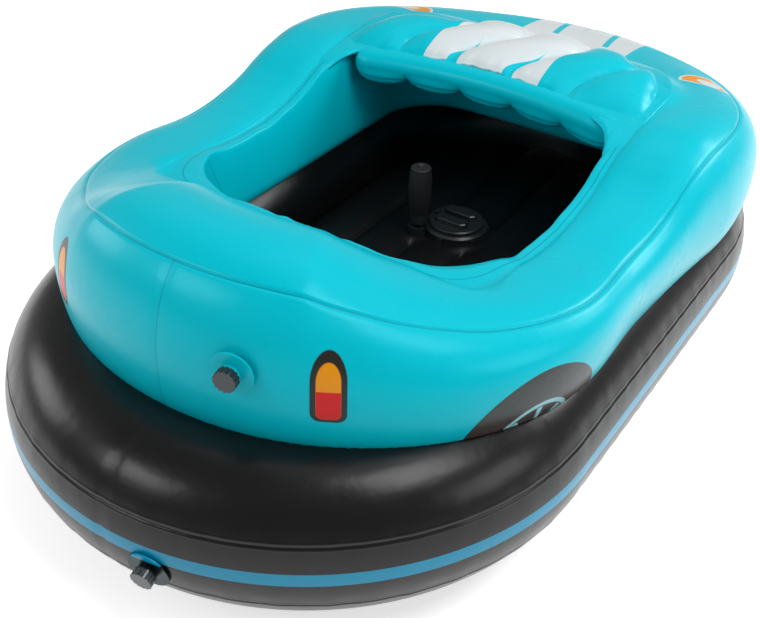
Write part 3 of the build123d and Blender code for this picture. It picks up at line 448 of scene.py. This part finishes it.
# Padded lip along the back edge of the dashboard: a bent tube with hanging lobes and a stitched seam
LIP_TURNS, LIP_ROWS = 80, 320
LIP_TIP_ROWS, LIP_TIP, LIP_TIP_POWER, LIP_TIP_LEAST = 12, .035, 30, .001
LIP_R, LIP_DROP = .026, .005
LIP_LEFT, LIP_RIGHT = .277, .289
LIP_Z = LIP_TOP - LIP_R - LIP_DROP
LIP_BOW = .060
LIP_TAIL = .247
LIP_BEND = (DASH_HALF ** 2 + LIP_BOW ** 2) / (2 * LIP_BOW)
LOBE_HANG, LIP_NOTCH, LOBE_PITCH = .017, .007, .114
LOBE_POWER, LOBE_ROUND = 2.2, .6
LOBE_TURN, LOBE_TURN_POWER = radians(282), 1.5
LIP_SEAM = radians(230)
STITCH_DEPTH, STITCH_WIDTH, STITCH_PITCH, STITCH_MEAN = .0016, .0022, .007, .7
LIP_BEAD, LIP_BEAD_AT, LIP_BEAD_WIDTH = .0007, .005, .003
LIP_RIPPLE, LIP_RIPPLE_WAVE, LIP_RIPPLE_WIDTH, LIP_SEED = .0004, .04, .015, 5


def padded_lip():
    tip = 1 - LIP_TIP * np.linspace(0, 1, LIP_TIP_ROWS)[:-1] ** 2
    share = np.concatenate((-tip, np.linspace(LIP_TIP - 1, 1 - LIP_TIP, LIP_ROWS), tip[::-1]))
    angle = np.linspace(0, 2 * pi, LIP_TURNS, endpoint=False)
    down = np.clip(np.cos(angle - LOBE_TURN), 0, 1) ** LOBE_TURN_POWER
    off = (angle - LIP_SEAM) * LIP_R
    bead = LIP_BEAD * hump(np.abs(off) - LIP_BEAD_AT, LIP_BEAD_WIDTH)
    points = []
    for part in share:
        turn = part * asin((LIP_LEFT if part < 0 else LIP_RIGHT) / LIP_BEND)
        along = turn * LIP_BEND
        phase = (along / LOBE_PITCH + .5) % 1 * 2 - 1
        lobe = max(1 - abs(phase) ** LOBE_POWER, 0) ** LOBE_ROUND
        if abs(along) >= LOBE_PITCH * CHANNELS / 2:
            lobe = 0
        end = max(1 - abs(part) ** LIP_TIP_POWER, LIP_TIP_LEAST) ** .5
        stitch = STITCH_MEAN + (1 - STITCH_MEAN) * sin(along * 2 * pi / STITCH_PITCH)
        seam = bead - STITCH_DEPTH * stitch * hump(off, STITCH_WIDTH)
        ripple = LIP_RIPPLE * waves(along, LIP_SEED, LIP_RIPPLE_WAVE) * hump(off, LIP_RIPPLE_WIDTH)
        radius = (LIP_R + (LOBE_HANG * lobe - LIP_NOTCH * (1 - lobe)) * down + seam + ripple) * end
        reach = LIP_BEND + radius * np.cos(angle)
        points.append(np.stack((reach * sin(turn), LIP_TAIL - LIP_BEND + reach * cos(turn),
                                LIP_Z + radius * np.sin(angle)), 1))
    last = (len(share) - 1) * LIP_TURNS
    faces = net_faces(len(share), LIP_TURNS, False, True)
    faces += [tuple(range(LIP_TURNS)), tuple(last + i for i in reversed(range(LIP_TURNS)))]
    piece = mesh_piece("padded_lip", np.concatenate(points), faces)
    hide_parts("dash_lip")
    return piece


# Cockpit floor: inflated channels, flat round the collar and the joystick
FLOOR_ACROSS, FLOOR_ALONG = 121, 150
FLOOR_HALF, FLOOR_LONG = floor_high.x, floor_high.y
FLOOR_GROOVE, FLOOR_POWER, FLOOR_DROP, FLOOR_MARGIN = .014, 2.6, .0002, .0001
CAP_FLAT, STICK_FLAT = (.066, .085), (.024, .04)


def cockpit_floor():
    x = np.linspace(-1, 1, FLOOR_ACROSS) * FLOOR_HALF
    round_y = FLOOR_LONG - FLOOR_HALF + np.sqrt(np.maximum(FLOOR_HALF ** 2 - x ** 2, 0)) + FLOOR_MARGIN
    X = np.repeat(x[:, None], FLOOR_ALONG, 1)
    Y = round_y[:, None] * np.linspace(-1, 1, FLOOR_ALONG)[None, :]
    pitch = 2 * FLOOR_HALF / CHANNELS
    phase = (X / pitch + .5) % 1 * 2 - 1
    groove = 1 - np.sqrt(np.clip(1 - np.abs(phase) ** FLOOR_POWER, 0, 1))
    flat = np.maximum(1 - ease(np.hypot(X, Y - CAP_Y), *CAP_FLAT),
                      1 - ease(np.hypot(X - STICK_X, Y - STICK_Y), *STICK_FLAT))
    Z = floor_high.z - FLOOR_GROOVE * groove * (1 - flat) - FLOOR_DROP
    top = np.stack((X, Y, Z), 2).reshape(-1, 3)
    under = top.copy()
    under[:, 2] = floor_low.z
    faces = closed_sheet(FLOOR_ACROSS, FLOOR_ALONG)
    piece = mesh_piece("padded_floor", np.concatenate((top, under)), faces)
    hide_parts("floor_panel")
    return piece


# Materials. A Field is a number in a node tree, and arithmetic on it adds nodes.
class Field:
    def __init__(self, tree, socket):
        self.tree, self.socket = tree, socket

    def join(self, operation, other=None):
        node = self.tree.nodes.new("ShaderNodeMath")
        node.operation = operation
        for slot, value in enumerate((self, other)):
            if isinstance(value, Field):
                self.tree.links.new(value.socket, node.inputs[slot])
            elif value is not None:
                node.inputs[slot].default_value = value
        return Field(self.tree, node.outputs[0])

    def __add__(self, other): return self.join("ADD", other)
    def __sub__(self, other): return self.join("SUBTRACT", other)
    def __mul__(self, other): return self.join("MULTIPLY", other)
    def __truediv__(self, other): return self.join("DIVIDE", other)
    def __neg__(self): return self.join("MULTIPLY", -1)
    def __abs__(self): return self.join("ABSOLUTE")
    def low(self, other): return self.join("MINIMUM", other)
    def high(self, other): return self.join("MAXIMUM", other)
    def root(self): return self.join("SQRT")
    def sine(self): return self.join("SINE")
    def angle(self, other): return self.join("ARCTAN2", other)

    def paint(self, soft=.0006):
        """1 where this distance is negative and 0 where it is positive, with a soft edge."""
        node = self.tree.nodes.new("ShaderNodeMapRange")
        self.tree.links.new(self.socket, node.inputs["Value"])
        for key, value in (("From Min", soft), ("From Max", -soft), ("To Min", 0), ("To Max", 1)):
            node.inputs[key].default_value = value
        return Field(self.tree, node.outputs[0])


def length(a, b):
    return (a * a + b * b).root()


def step(field, low, high):
    """Smooth step from 0 at low to 1 at high."""
    node = field.tree.nodes.new("ShaderNodeMapRange")
    node.interpolation_type = "SMOOTHSTEP"
    field.tree.links.new(field.socket, node.inputs["Value"])
    node.inputs["From Min"].default_value, node.inputs["From Max"].default_value = low, high
    return Field(field.tree, node.outputs[0])


def ellipse(u, v, wide, tall):
    """Roughly the distance to an ellipse about the origin."""
    return (length(u / wide, v / tall) - 1.0) * min(wide, tall)


def round_box(u, v, wide, tall, corner):
    return length((abs(u) - (wide - corner)).high(0), (abs(v) - (tall - corner)).high(0)) - corner


def new_material(name):
    material = bpy.data.materials.new(name)
    material.use_nodes = True
    tree = material.node_tree
    shader = next(n for n in tree.nodes if n.type == "BSDF_PRINCIPLED")
    place = tree.nodes.new("ShaderNodeTexCoord").outputs["Object"]
    split = tree.nodes.new("ShaderNodeSeparateXYZ")
    tree.links.new(place, split.inputs[0])
    x, y, z = (Field(tree, split.outputs[i]) for i in range(3))
    return material, tree, shader, place, (x, y, z)


def noise(tree, place, scale, detail=2.0):
    node = tree.nodes.new("ShaderNodeTexNoise")
    node.inputs["Scale"].default_value = scale
    node.inputs["Detail"].default_value = detail
    tree.links.new(place, node.inputs["Vector"])
    return Field(tree, node.outputs["Fac"])


def mix(tree, amount, first, second):
    node = tree.nodes.new("ShaderNodeMix")
    node.data_type = "RGBA"
    for socket, value in ((node.inputs[0], amount), (node.inputs[6], first), (node.inputs[7], second)):
        if isinstance(value, Field):
            tree.links.new(value.socket, socket)
        elif isinstance(value, bpy.types.NodeSocket):
            tree.links.new(value, socket)
        else:
            socket.default_value = (*value, 1)
    return node.outputs[2]


def vary(tree, place, color, scale, strength):
    """Colour that drifts a little lighter and darker over the surface."""
    dark = tuple(c * (1 - strength) for c in color)
    light = tuple(min(c * (1 + strength), 1) for c in color)
    return mix(tree, noise(tree, place, scale), dark, light)


def bump(tree, shader, height, distance):
    node = tree.nodes.new("ShaderNodeBump")
    node.inputs["Distance"].default_value = distance
    tree.links.new(height.socket, node.inputs["Height"])
    tree.links.new(node.outputs[0], shader.inputs["Normal"])


def srgb(red, green, blue):
    """Linear colour from display values of 0 to 255."""
    values = (c / 255 for c in (red, green, blue))
    return tuple(c / 12.92 if c <= .04045 else ((c + .055) / 1.055) ** 2.4 for c in values)


TURQUOISE = srgb(0, 194, 212)
WHITE = srgb(216, 223, 225)
STRIPE = srgb(0, 146, 184)
BLACK = srgb(12, 12, 13)
LAMP_DARK = srgb(48, 38, 34)
LAMP_ORANGE = srgb(240, 152, 0)
LAMP_RED = srgb(220, 6, 4)
TYRE_PRINT = srgb(64, 53, 50)
HUB_PRINT = srgb(150, 205, 212)
WELD_DARK = srgb(0, 146, 168)

# Reflections of the turquoise vinyl keep its hue. Patches and peel are given as scale and strength.
GLOSS_TINT = (.25, .9, 1)
VINYL_ROUGH, COAT_ROUGH = .29, .2
GLOSS_PATCHES, GLOSS_SWING = 14, .10
FINE_PEEL, FINE_PEEL_HIGH = 700, .08
BROAD_PEEL, BROAD_PEEL_HIGH = 38, 1.2
PEEL_DEPTH = .00048


def vinyl_finish(tree, shader, place, rough, tint=(1, 1, 1), coat=.03, index=1.36):
    """Satin inflated vinyl: soft gloss, faint orange peel and slight unevenness of gloss."""
    gloss = noise(tree, place, GLOSS_PATCHES) * GLOSS_SWING + (rough - GLOSS_SWING / 2)
    tree.links.new(gloss.socket, shader.inputs["Roughness"])
    fine = noise(tree, place, FINE_PEEL, 1) * FINE_PEEL_HIGH
    bump(tree, shader, fine + noise(tree, place, BROAD_PEEL) * BROAD_PEEL_HIGH, PEEL_DEPTH)
    shader.inputs["Specular Tint"].default_value = (*tint, 1)
    shader.inputs["Coat Weight"].default_value = coat
    shader.inputs["Coat Roughness"].default_value = COAT_ROUGH
    shader.inputs["IOR"].default_value = index


# Prints on the outer wall, beyond WALL_FROM from the centre line, by plan angle off the tail
WALL_RADIUS, WALL_FROM = .474, .40
TAIL_LAMP_TURN, TAIL_LAMP_Z = radians(31.1), .405
LAMP_OVERLAP, LAMP_DROP = .002, .014
# Half width, height of the round upper half, half height and corner of the lower half
LAMP_OUTLINE = (.0250, .0425, .049, .014)
LAMP_LENS = (.0168, .027, .044, .009)
TYRE_TURN, TYRE_Z, TYRE_RADIUS = radians(69.2), .233, .137
HUB_RADIUS, HUB_HALF = .074, .004
SPOKES, SPOKE_REACH, SPOKE_EDGE, SPOKE_SCALE = 9, .068, .35, .03


def on_wall(xyz, turn):
    """Distance along the outer wall from a plan angle, and the outer wall's mask."""
    x, y, _ = xyz
    behind = -(y - HULL_TAIL_AXIS)
    outside = (-length(x, behind.high(0)) + WALL_FROM).paint()
    return (abs(x).angle(behind) - turn) * WALL_RADIUS, outside


def lamp_shape(u, v, half, rise, fall, corner):
    """Tail lamp with a round upper half and a squarer lower half, which overlap a little."""
    upper = ellipse(u, v, half, rise).high(-v - LAMP_OVERLAP)
    return upper.low(round_box(u, v + LAMP_DROP, half, fall, corner).high(v - LAMP_OVERLAP))


def tail_lamps(tree, xyz, color):
    u, outside = on_wall(xyz, TAIL_LAMP_TURN)
    v = xyz[2] - TAIL_LAMP_Z
    color = mix(tree, lamp_shape(u, v, *LAMP_OUTLINE).paint() * outside, color, LAMP_DARK)
    lens = lamp_shape(u, v, *LAMP_LENS)
    color = mix(tree, lens.paint() * outside, color, LAMP_ORANGE)
    return mix(tree, lens.high(v + LAMP_DROP).paint() * outside, color, LAMP_RED)


def tyre_prints(tree, xyz, color):
    u, outside = on_wall(xyz, TYRE_TURN)
    v = xyz[2] - TYRE_Z
    ring = length(u, v)
    color = mix(tree, (ring - TYRE_RADIUS).paint() * outside, color, TYRE_PRINT)
    spoke = (abs((u.angle(v) * (SPOKES / 2)).sine()) - SPOKE_EDGE) * SPOKE_SCALE
    hub = (abs(ring - HUB_RADIUS) - HUB_HALF).low(spoke.high(ring - SPOKE_REACH))
    return mix(tree, hub.paint() * outside, color, HUB_PRINT)


# Prints on the hood and the dashboard lie above PRINT_Z
PRINT_Z = .405
EYE_BACK = .4705
EYE_SLANT_X, EYE_SLANT_Y, EYE_SLANT = .69, .724, .614
EYE_X, EYE_Y, EYE_RADIUS = .322, .492, .040
EYE_FRAME = .0055
BULB_X, BULB_Y, BULB_LONG, BULB_WIDE = .340, .4915, .0265, .0145
BULB_COS, BULB_SIN = .94, .34
# Each edge of the band: the stretch of y over which it moves, how far it moves, and its x at the tail end
BAND_TAIL = .19
BAND_LEFT, BAND_RIGHT = (.395, .500, .040, -.146), (.300, .460, .043, .097)
# Lines in the band, as x at LINE_Y, lean and start; slashes, as x, drift, start, end and half width
LINE_Y, LINE_HALF = .600, .0068
LINES = ((-.037, -.12, .606), (.0815, -.15, .594))
SLASHES = ((-.0885, .022, .235, .332, .0118), (.0290, .036, .240, .345, .0115))
SLASH_DELAY = .02


def head_lamps(tree, xyz, color):
    """Eye shaped lamp prints on the hood: flat behind, round inside and pointed outside."""
    x, y, z = xyz
    side = abs(x)
    above = (-z + PRINT_Z).paint()
    slant = side * EYE_SLANT_X + y * EYE_SLANT_Y - EYE_SLANT
    eye = (-y + EYE_BACK).high(slant).high(length((side - EYE_X).low(0), y - EYE_Y) - EYE_RADIUS)
    color = mix(tree, eye.paint() * above, color, WHITE)
    color = mix(tree, (eye + EYE_FRAME).paint() * above, color, LAMP_ORANGE)
    along = (side - BULB_X) * BULB_COS - (y - BULB_Y) * BULB_SIN
    off = (side - BULB_X) * BULB_SIN + (y - BULB_Y) * BULB_COS
    return mix(tree, ellipse(along, off, BULB_LONG, BULB_WIDE).paint() * above, color, WHITE)


def band_edge(y, low, high, shift, start):
    return step(y, low, high) * shift + start


def hood_print(tree, xyz, color):
    """White band along the dashboard and hood, with two lines in it and two slashes in its valleys."""
    x, y, z = xyz
    above = (-z + PRINT_Z).paint() * (-y + BAND_TAIL).paint()
    band = (band_edge(y, *BAND_LEFT) - x).high(x - band_edge(y, *BAND_RIGHT))
    color = mix(tree, band.paint() * above, color, WHITE)
    for start, lean, begin in LINES:
        line = abs(x - (y - LINE_Y) * lean - start) - LINE_HALF
        color = mix(tree, line.high(-y + begin).paint() * above, color, TURQUOISE)
    for middle, drift, low, high, half in SLASHES:
        off = x - step(y, low + SLASH_DELAY, high) * drift - middle
        slash = abs(off) + step(y, low, high) * half - half
        color = mix(tree, slash.high(y - high).paint() * above, color, TURQUOISE)
    return color


# Drawn welds. The gusset's line in each rear corner of the cockpit leans back as it rises.
SEAM_HALF, SEAM_SOFT, SEAM_INK = .0011, .0004, .85
UPRIGHT_HALF, UPRIGHT_FROM, UPRIGHT_INK = .0008, .50, .75
GUSSET_Y, GUSSET_LEAN = .066, .4375
GUSSET_X, GUSSET_NOSE, GUSSET_TOP = .298, .1, .408


def weld_lines(tree, xyz, color):
    """Thin dark welds: at the stored distances, upright ones at tail and nose, and the gusset's."""
    x, y, z = xyz
    stored = tree.nodes.new("ShaderNodeAttribute")
    stored.attribute_name = "weld_line"
    from_weld = Field(tree, stored.outputs["Fac"])
    color = mix(tree, (abs(from_weld) - SEAM_HALF).paint(SEAM_SOFT) * SEAM_INK, color, WELD_DARK)
    upright = (abs(x) - UPRIGHT_HALF).high(from_weld).high(-length(x, y) + UPRIGHT_FROM)
    color = mix(tree, upright.paint(SEAM_SOFT) * UPRIGHT_INK, color, WELD_DARK)
    gusset = (abs(y + GUSSET_Y + z * GUSSET_LEAN) - SEAM_HALF).high(abs(x) - GUSSET_X)
    gusset = gusset.high(y - GUSSET_NOSE).high(z - GUSSET_TOP)
    return mix(tree, gusset.paint(SEAM_SOFT) * UPRIGHT_INK, color, WELD_DARK)


def printed_vinyl(name, layers):
    material, tree, shader, place, xyz = new_material(name)
    color = vary(tree, place, TURQUOISE, scale=3.0, strength=.05)
    for layer in layers:
        color = layer(tree, xyz, color)
    tree.links.new(color, shader.inputs["Base Color"])
    vinyl_finish(tree, shader, place, VINYL_ROUGH, GLOSS_TINT)
    return material


def plain_vinyl(name, base, rough, tint=(1, 1, 1)):
    material, tree, shader, place, _ = new_material(name)
    color = vary(tree, place, base, scale=4.0, strength=.06)
    tree.links.new(color, shader.inputs["Base Color"])
    vinyl_finish(tree, shader, place, rough, tint)
    return material


# The ring's stripe lies on its outer side, beyond STRIPE_FROM. Above VALVE_SPLIT a valve is the body's.
STRIPE_Z, STRIPE_HALF, STRIPE_FROM = .163, .011, .38
VALVE_SPLIT = .28


def stripe_mask(z):
    return (abs(z - STRIPE_Z) - STRIPE_HALF).paint()


def ring_material():
    material, tree, shader, place, (x, y, z) = new_material("black_inflated")
    outside = (-length(x, (abs(y) - RING_STRAIGHT).high(0)) + STRIPE_FROM).paint()
    black = vary(tree, place, BLACK, scale=4.0, strength=.08)
    color = mix(tree, stripe_mask(z) * outside, black, STRIPE)
    tree.links.new(color, shader.inputs["Base Color"])
    vinyl_finish(tree, shader, place, VINYL_ROUGH, coat=.08, index=1.38)
    return material


def valve_material():
    """Clear welded flange: it shows the turquoise of the body above and the black of the ring below."""
    material, tree, shader, place, (_, _, z) = new_material("clear_valve_flange")
    color = mix(tree, (z - VALVE_SPLIT).paint(), TURQUOISE, BLACK)
    color = mix(tree, stripe_mask(z), color, STRIPE)
    tree.links.new(color, shader.inputs["Base Color"])
    vinyl_finish(tree, shader, place, VINYL_ROUGH, GLOSS_TINT)
    return material


MOULD_PATCHES, MOULD_SWING = 60, .16


def moulded(name, base, rough, grain_scale=700, grain=.00012, metallic=0.0):
    """Hard part with a fine grain and slightly uneven gloss."""
    material, tree, shader, place, _ = new_material(name)
    color = vary(tree, place, base, scale=25.0, strength=.12)
    tree.links.new(color, shader.inputs["Base Color"])
    gloss = noise(tree, place, MOULD_PATCHES, 3) * MOULD_SWING + (rough - MOULD_SWING / 2)
    tree.links.new(gloss.socket, shader.inputs["Roughness"])
    bump(tree, shader, noise(tree, place, grain_scale, 3), grain)
    shader.inputs["Metallic"].default_value = metallic
    return material


MATERIALS = {
    "black_vinyl": lambda: plain_vinyl("floor_vinyl", BLACK, .40),
    "turquoise_vinyl": lambda: plain_vinyl("turquoise_plain", TURQUOISE, .30, GLOSS_TINT),
    "black_moulding": lambda: moulded("housing_moulding", srgb(36, 37, 39), .55),
    "battery_case": lambda: moulded("battery_case_plastic", srgb(60, 62, 66), .5),
    "cap_moulding": lambda: moulded("cap_plastic", srgb(30, 33, 35), .36, 500),
    "steel": lambda: moulded("turned_steel", srgb(190, 190, 194), .28, 900, .00004, 1.0),
    "zinc_steel": lambda: moulded("zinc_plate", srgb(196, 198, 204), .38, 300, .00006, 1.0),
    "motor_metal": lambda: moulded("motor_paint", srgb(52, 54, 58), .42),
    "grip_rubber": lambda: moulded("grip_rubber_matt", srgb(30, 28, 28), .62, 1100, .0002),
    "button_metal": lambda: moulded("button_gloss", srgb(70, 72, 74), .22),
    "valve_clear": valve_material,
    "valve_cap": lambda: moulded("smoked_cap", srgb(44, 52, 56), .16, 300, .00004),
    "wheel_plastic": lambda: moulded("wheel_moulding", srgb(70, 72, 76), .5),
    "tyre_rubber": lambda: moulded("tyre_tread_rubber", srgb(30, 30, 30), .8, 1200, .0003),
    "caster_rubber": lambda: moulded("caster_tread_rubber", srgb(62, 62, 62), .6, 1200, .0002),
}


def dress(piece, material):
    piece.data.materials.clear()
    piece.data.materials.append(material)


BODY_PRINTS = (hood_print, head_lamps, tyre_prints, tail_lamps, weld_lines)
dress(bumper_ring(), ring_material())
dress(inflated_body(), printed_vinyl("turquoise_inflated", BODY_PRINTS))
dress(dashboard(), printed_vinyl("quilt_inflated", (hood_print,)))
dress(padded_lip(), plain_vinyl("lip_inflated", TURQUOISE, .30, GLOSS_TINT))
dress(cockpit_floor(), plain_vinyl("floor_inflated", BLACK, .42))
finishes = {}
for part in frame["record"]["subparts"]:
    node = frame["nodes"][part["node"]]
    if node.hide_render:
        continue
    slot = part["material_slot"]
    if slot not in finishes:
        finishes[slot] = MATERIALS[slot]()
    if node.data.materials:
        for index in range(len(node.data.materials)):
            node.data.materials[index] = finishes[slot]
    else:
        node.data.materials.append(finishes[slot])


# Floor, light and camera
STUDIO_HALF = 14.0
STUDIO_GREY = srgb(243, 243, 243)
FLOOR_ROUGH, FLOOR_SHEEN, FLOOR_LIFT = .9, .1, .60
WORLD_LEVEL = .30
LIGHT_TARGET = Vector((0, 0, .3))
# Name, direction, distance, width, height and power
SOFT_BOXES = (("key_box", (.50, -.12, .86), 3.0, 1.3, 1.3, 35),
              ("right_box", (.94, .02, .34), 3.2, 1.6, 1.0, 14),
              ("left_box", (-.88, -.38, .30), 3.4, 1.4, 1.0, 17),
              ("tail_box", (-.37, -.81, .48), 3.4, 1.2, .9, 18),
              ("top_box", (.05, .25, 1.0), 3.2, 3.0, 3.0, 15),
              ("front_box", (.55, .70, .52), 3.2, 1.3, 1.0, 34))
# Camera solved from the ring's symmetry. Its focal length is in picture widths.
CAMERA_HEADING, CAMERA_TILT, CAMERA_ROLL = radians(32.2822), radians(35.0161), radians(1.8766)
CAMERA_PLACE = (.89705, -1.53879, 1.31391)
CAMERA_FOCUS = 1122 / 760
SENSOR_WIDTH = 36.0


def seen_glossy_through(tree):
    """Marks of rays from the camera, after a reflection and after passing through."""
    ray = tree.nodes.new("ShaderNodeLightPath")
    kinds = "Is Camera Ray", "Is Glossy Ray", "Is Transmission Ray"
    return [Field(tree, ray.outputs[kind]) for kind in kinds]


def floor_plane():
    """Pale floor that keeps the shadow and is lifted to white for the camera and for reflections."""
    floor = bpy.data.objects.new("studio_floor", bpy.data.meshes.new("studio_floor"))
    corners = [(x * STUDIO_HALF, y * STUDIO_HALF, 0) for x, y in ((-1, -1), (1, -1), (1, 1), (-1, 1))]
    floor.data.from_pydata(corners, [], [(0, 1, 2, 3)])
    bpy.context.scene.collection.objects.link(floor)
    material = bpy.data.materials.new("pale_floor")
    material.use_nodes = True
    tree = material.node_tree
    shader = next(n for n in tree.nodes if n.type == "BSDF_PRINCIPLED")
    shader.inputs["Base Color"].default_value = (*STUDIO_GREY, 1)
    shader.inputs["Roughness"].default_value = FLOOR_ROUGH
    shader.inputs["Specular IOR Level"].default_value = FLOOR_SHEEN
    seen, glossy, through = seen_glossy_through(tree)
    lift = seen.high(glossy).high(through) * FLOOR_LIFT
    shader.inputs["Emission Color"].default_value = (1, 1, 1, 1)
    tree.links.new(lift.socket, shader.inputs["Emission Strength"])
    floor.data.materials.append(material)


def world_light():
    world = bpy.data.worlds.new("studio")
    world.use_nodes = True
    tree = world.node_tree
    back = next(n for n in tree.nodes if n.type == "BACKGROUND")
    seen, glossy, through = seen_glossy_through(tree)
    level = seen.high(glossy * WORLD_LEVEL).high(through).high(WORLD_LEVEL)
    tree.links.new(level.socket, back.inputs["Strength"])
    back.inputs["Color"].default_value = (1, 1, 1, 1)
    bpy.context.scene.world = world


def soft_box(name, direction, distance, width, height, power):
    light = bpy.data.lights.new(name, "AREA")
    light.shape, light.size, light.size_y, light.energy = "RECTANGLE", width, height, power
    box = bpy.data.objects.new(name, light)
    away = Vector(direction).normalized()
    box.location = LIGHT_TARGET + away * distance
    box.rotation_euler = away.to_track_quat("Z", "Y").to_euler()
    bpy.context.scene.collection.objects.link(box)


def photo_camera():
    back = Vector((sin(CAMERA_HEADING) * cos(CAMERA_TILT), -cos(CAMERA_HEADING) * cos(CAMERA_TILT),
                   sin(CAMERA_TILT)))
    right = (-back).cross(Vector((0, 0, 1))).normalized()
    up = right.cross(-back)
    across = right * cos(CAMERA_ROLL) + up * sin(CAMERA_ROLL)
    rise = up * cos(CAMERA_ROLL) - right * sin(CAMERA_ROLL)
    data = bpy.data.cameras.new("photo_view")
    data.sensor_width, data.lens = SENSOR_WIDTH, SENSOR_WIDTH * CAMERA_FOCUS
    camera = bpy.data.objects.new("photo_view", data)
    turned = Matrix((across, rise, back)).transposed().to_4x4()
    camera.matrix_world = Matrix.Translation(CAMERA_PLACE) @ turned
    bpy.context.scene.collection.objects.link(camera)
    bpy.context.scene.camera = camera


floor_plane()
world_light()
for box in SOFT_BOXES:
    soft_box(*box)
photo_camera()
bpy.context.scene.view_settings.view_transform = "Standard"
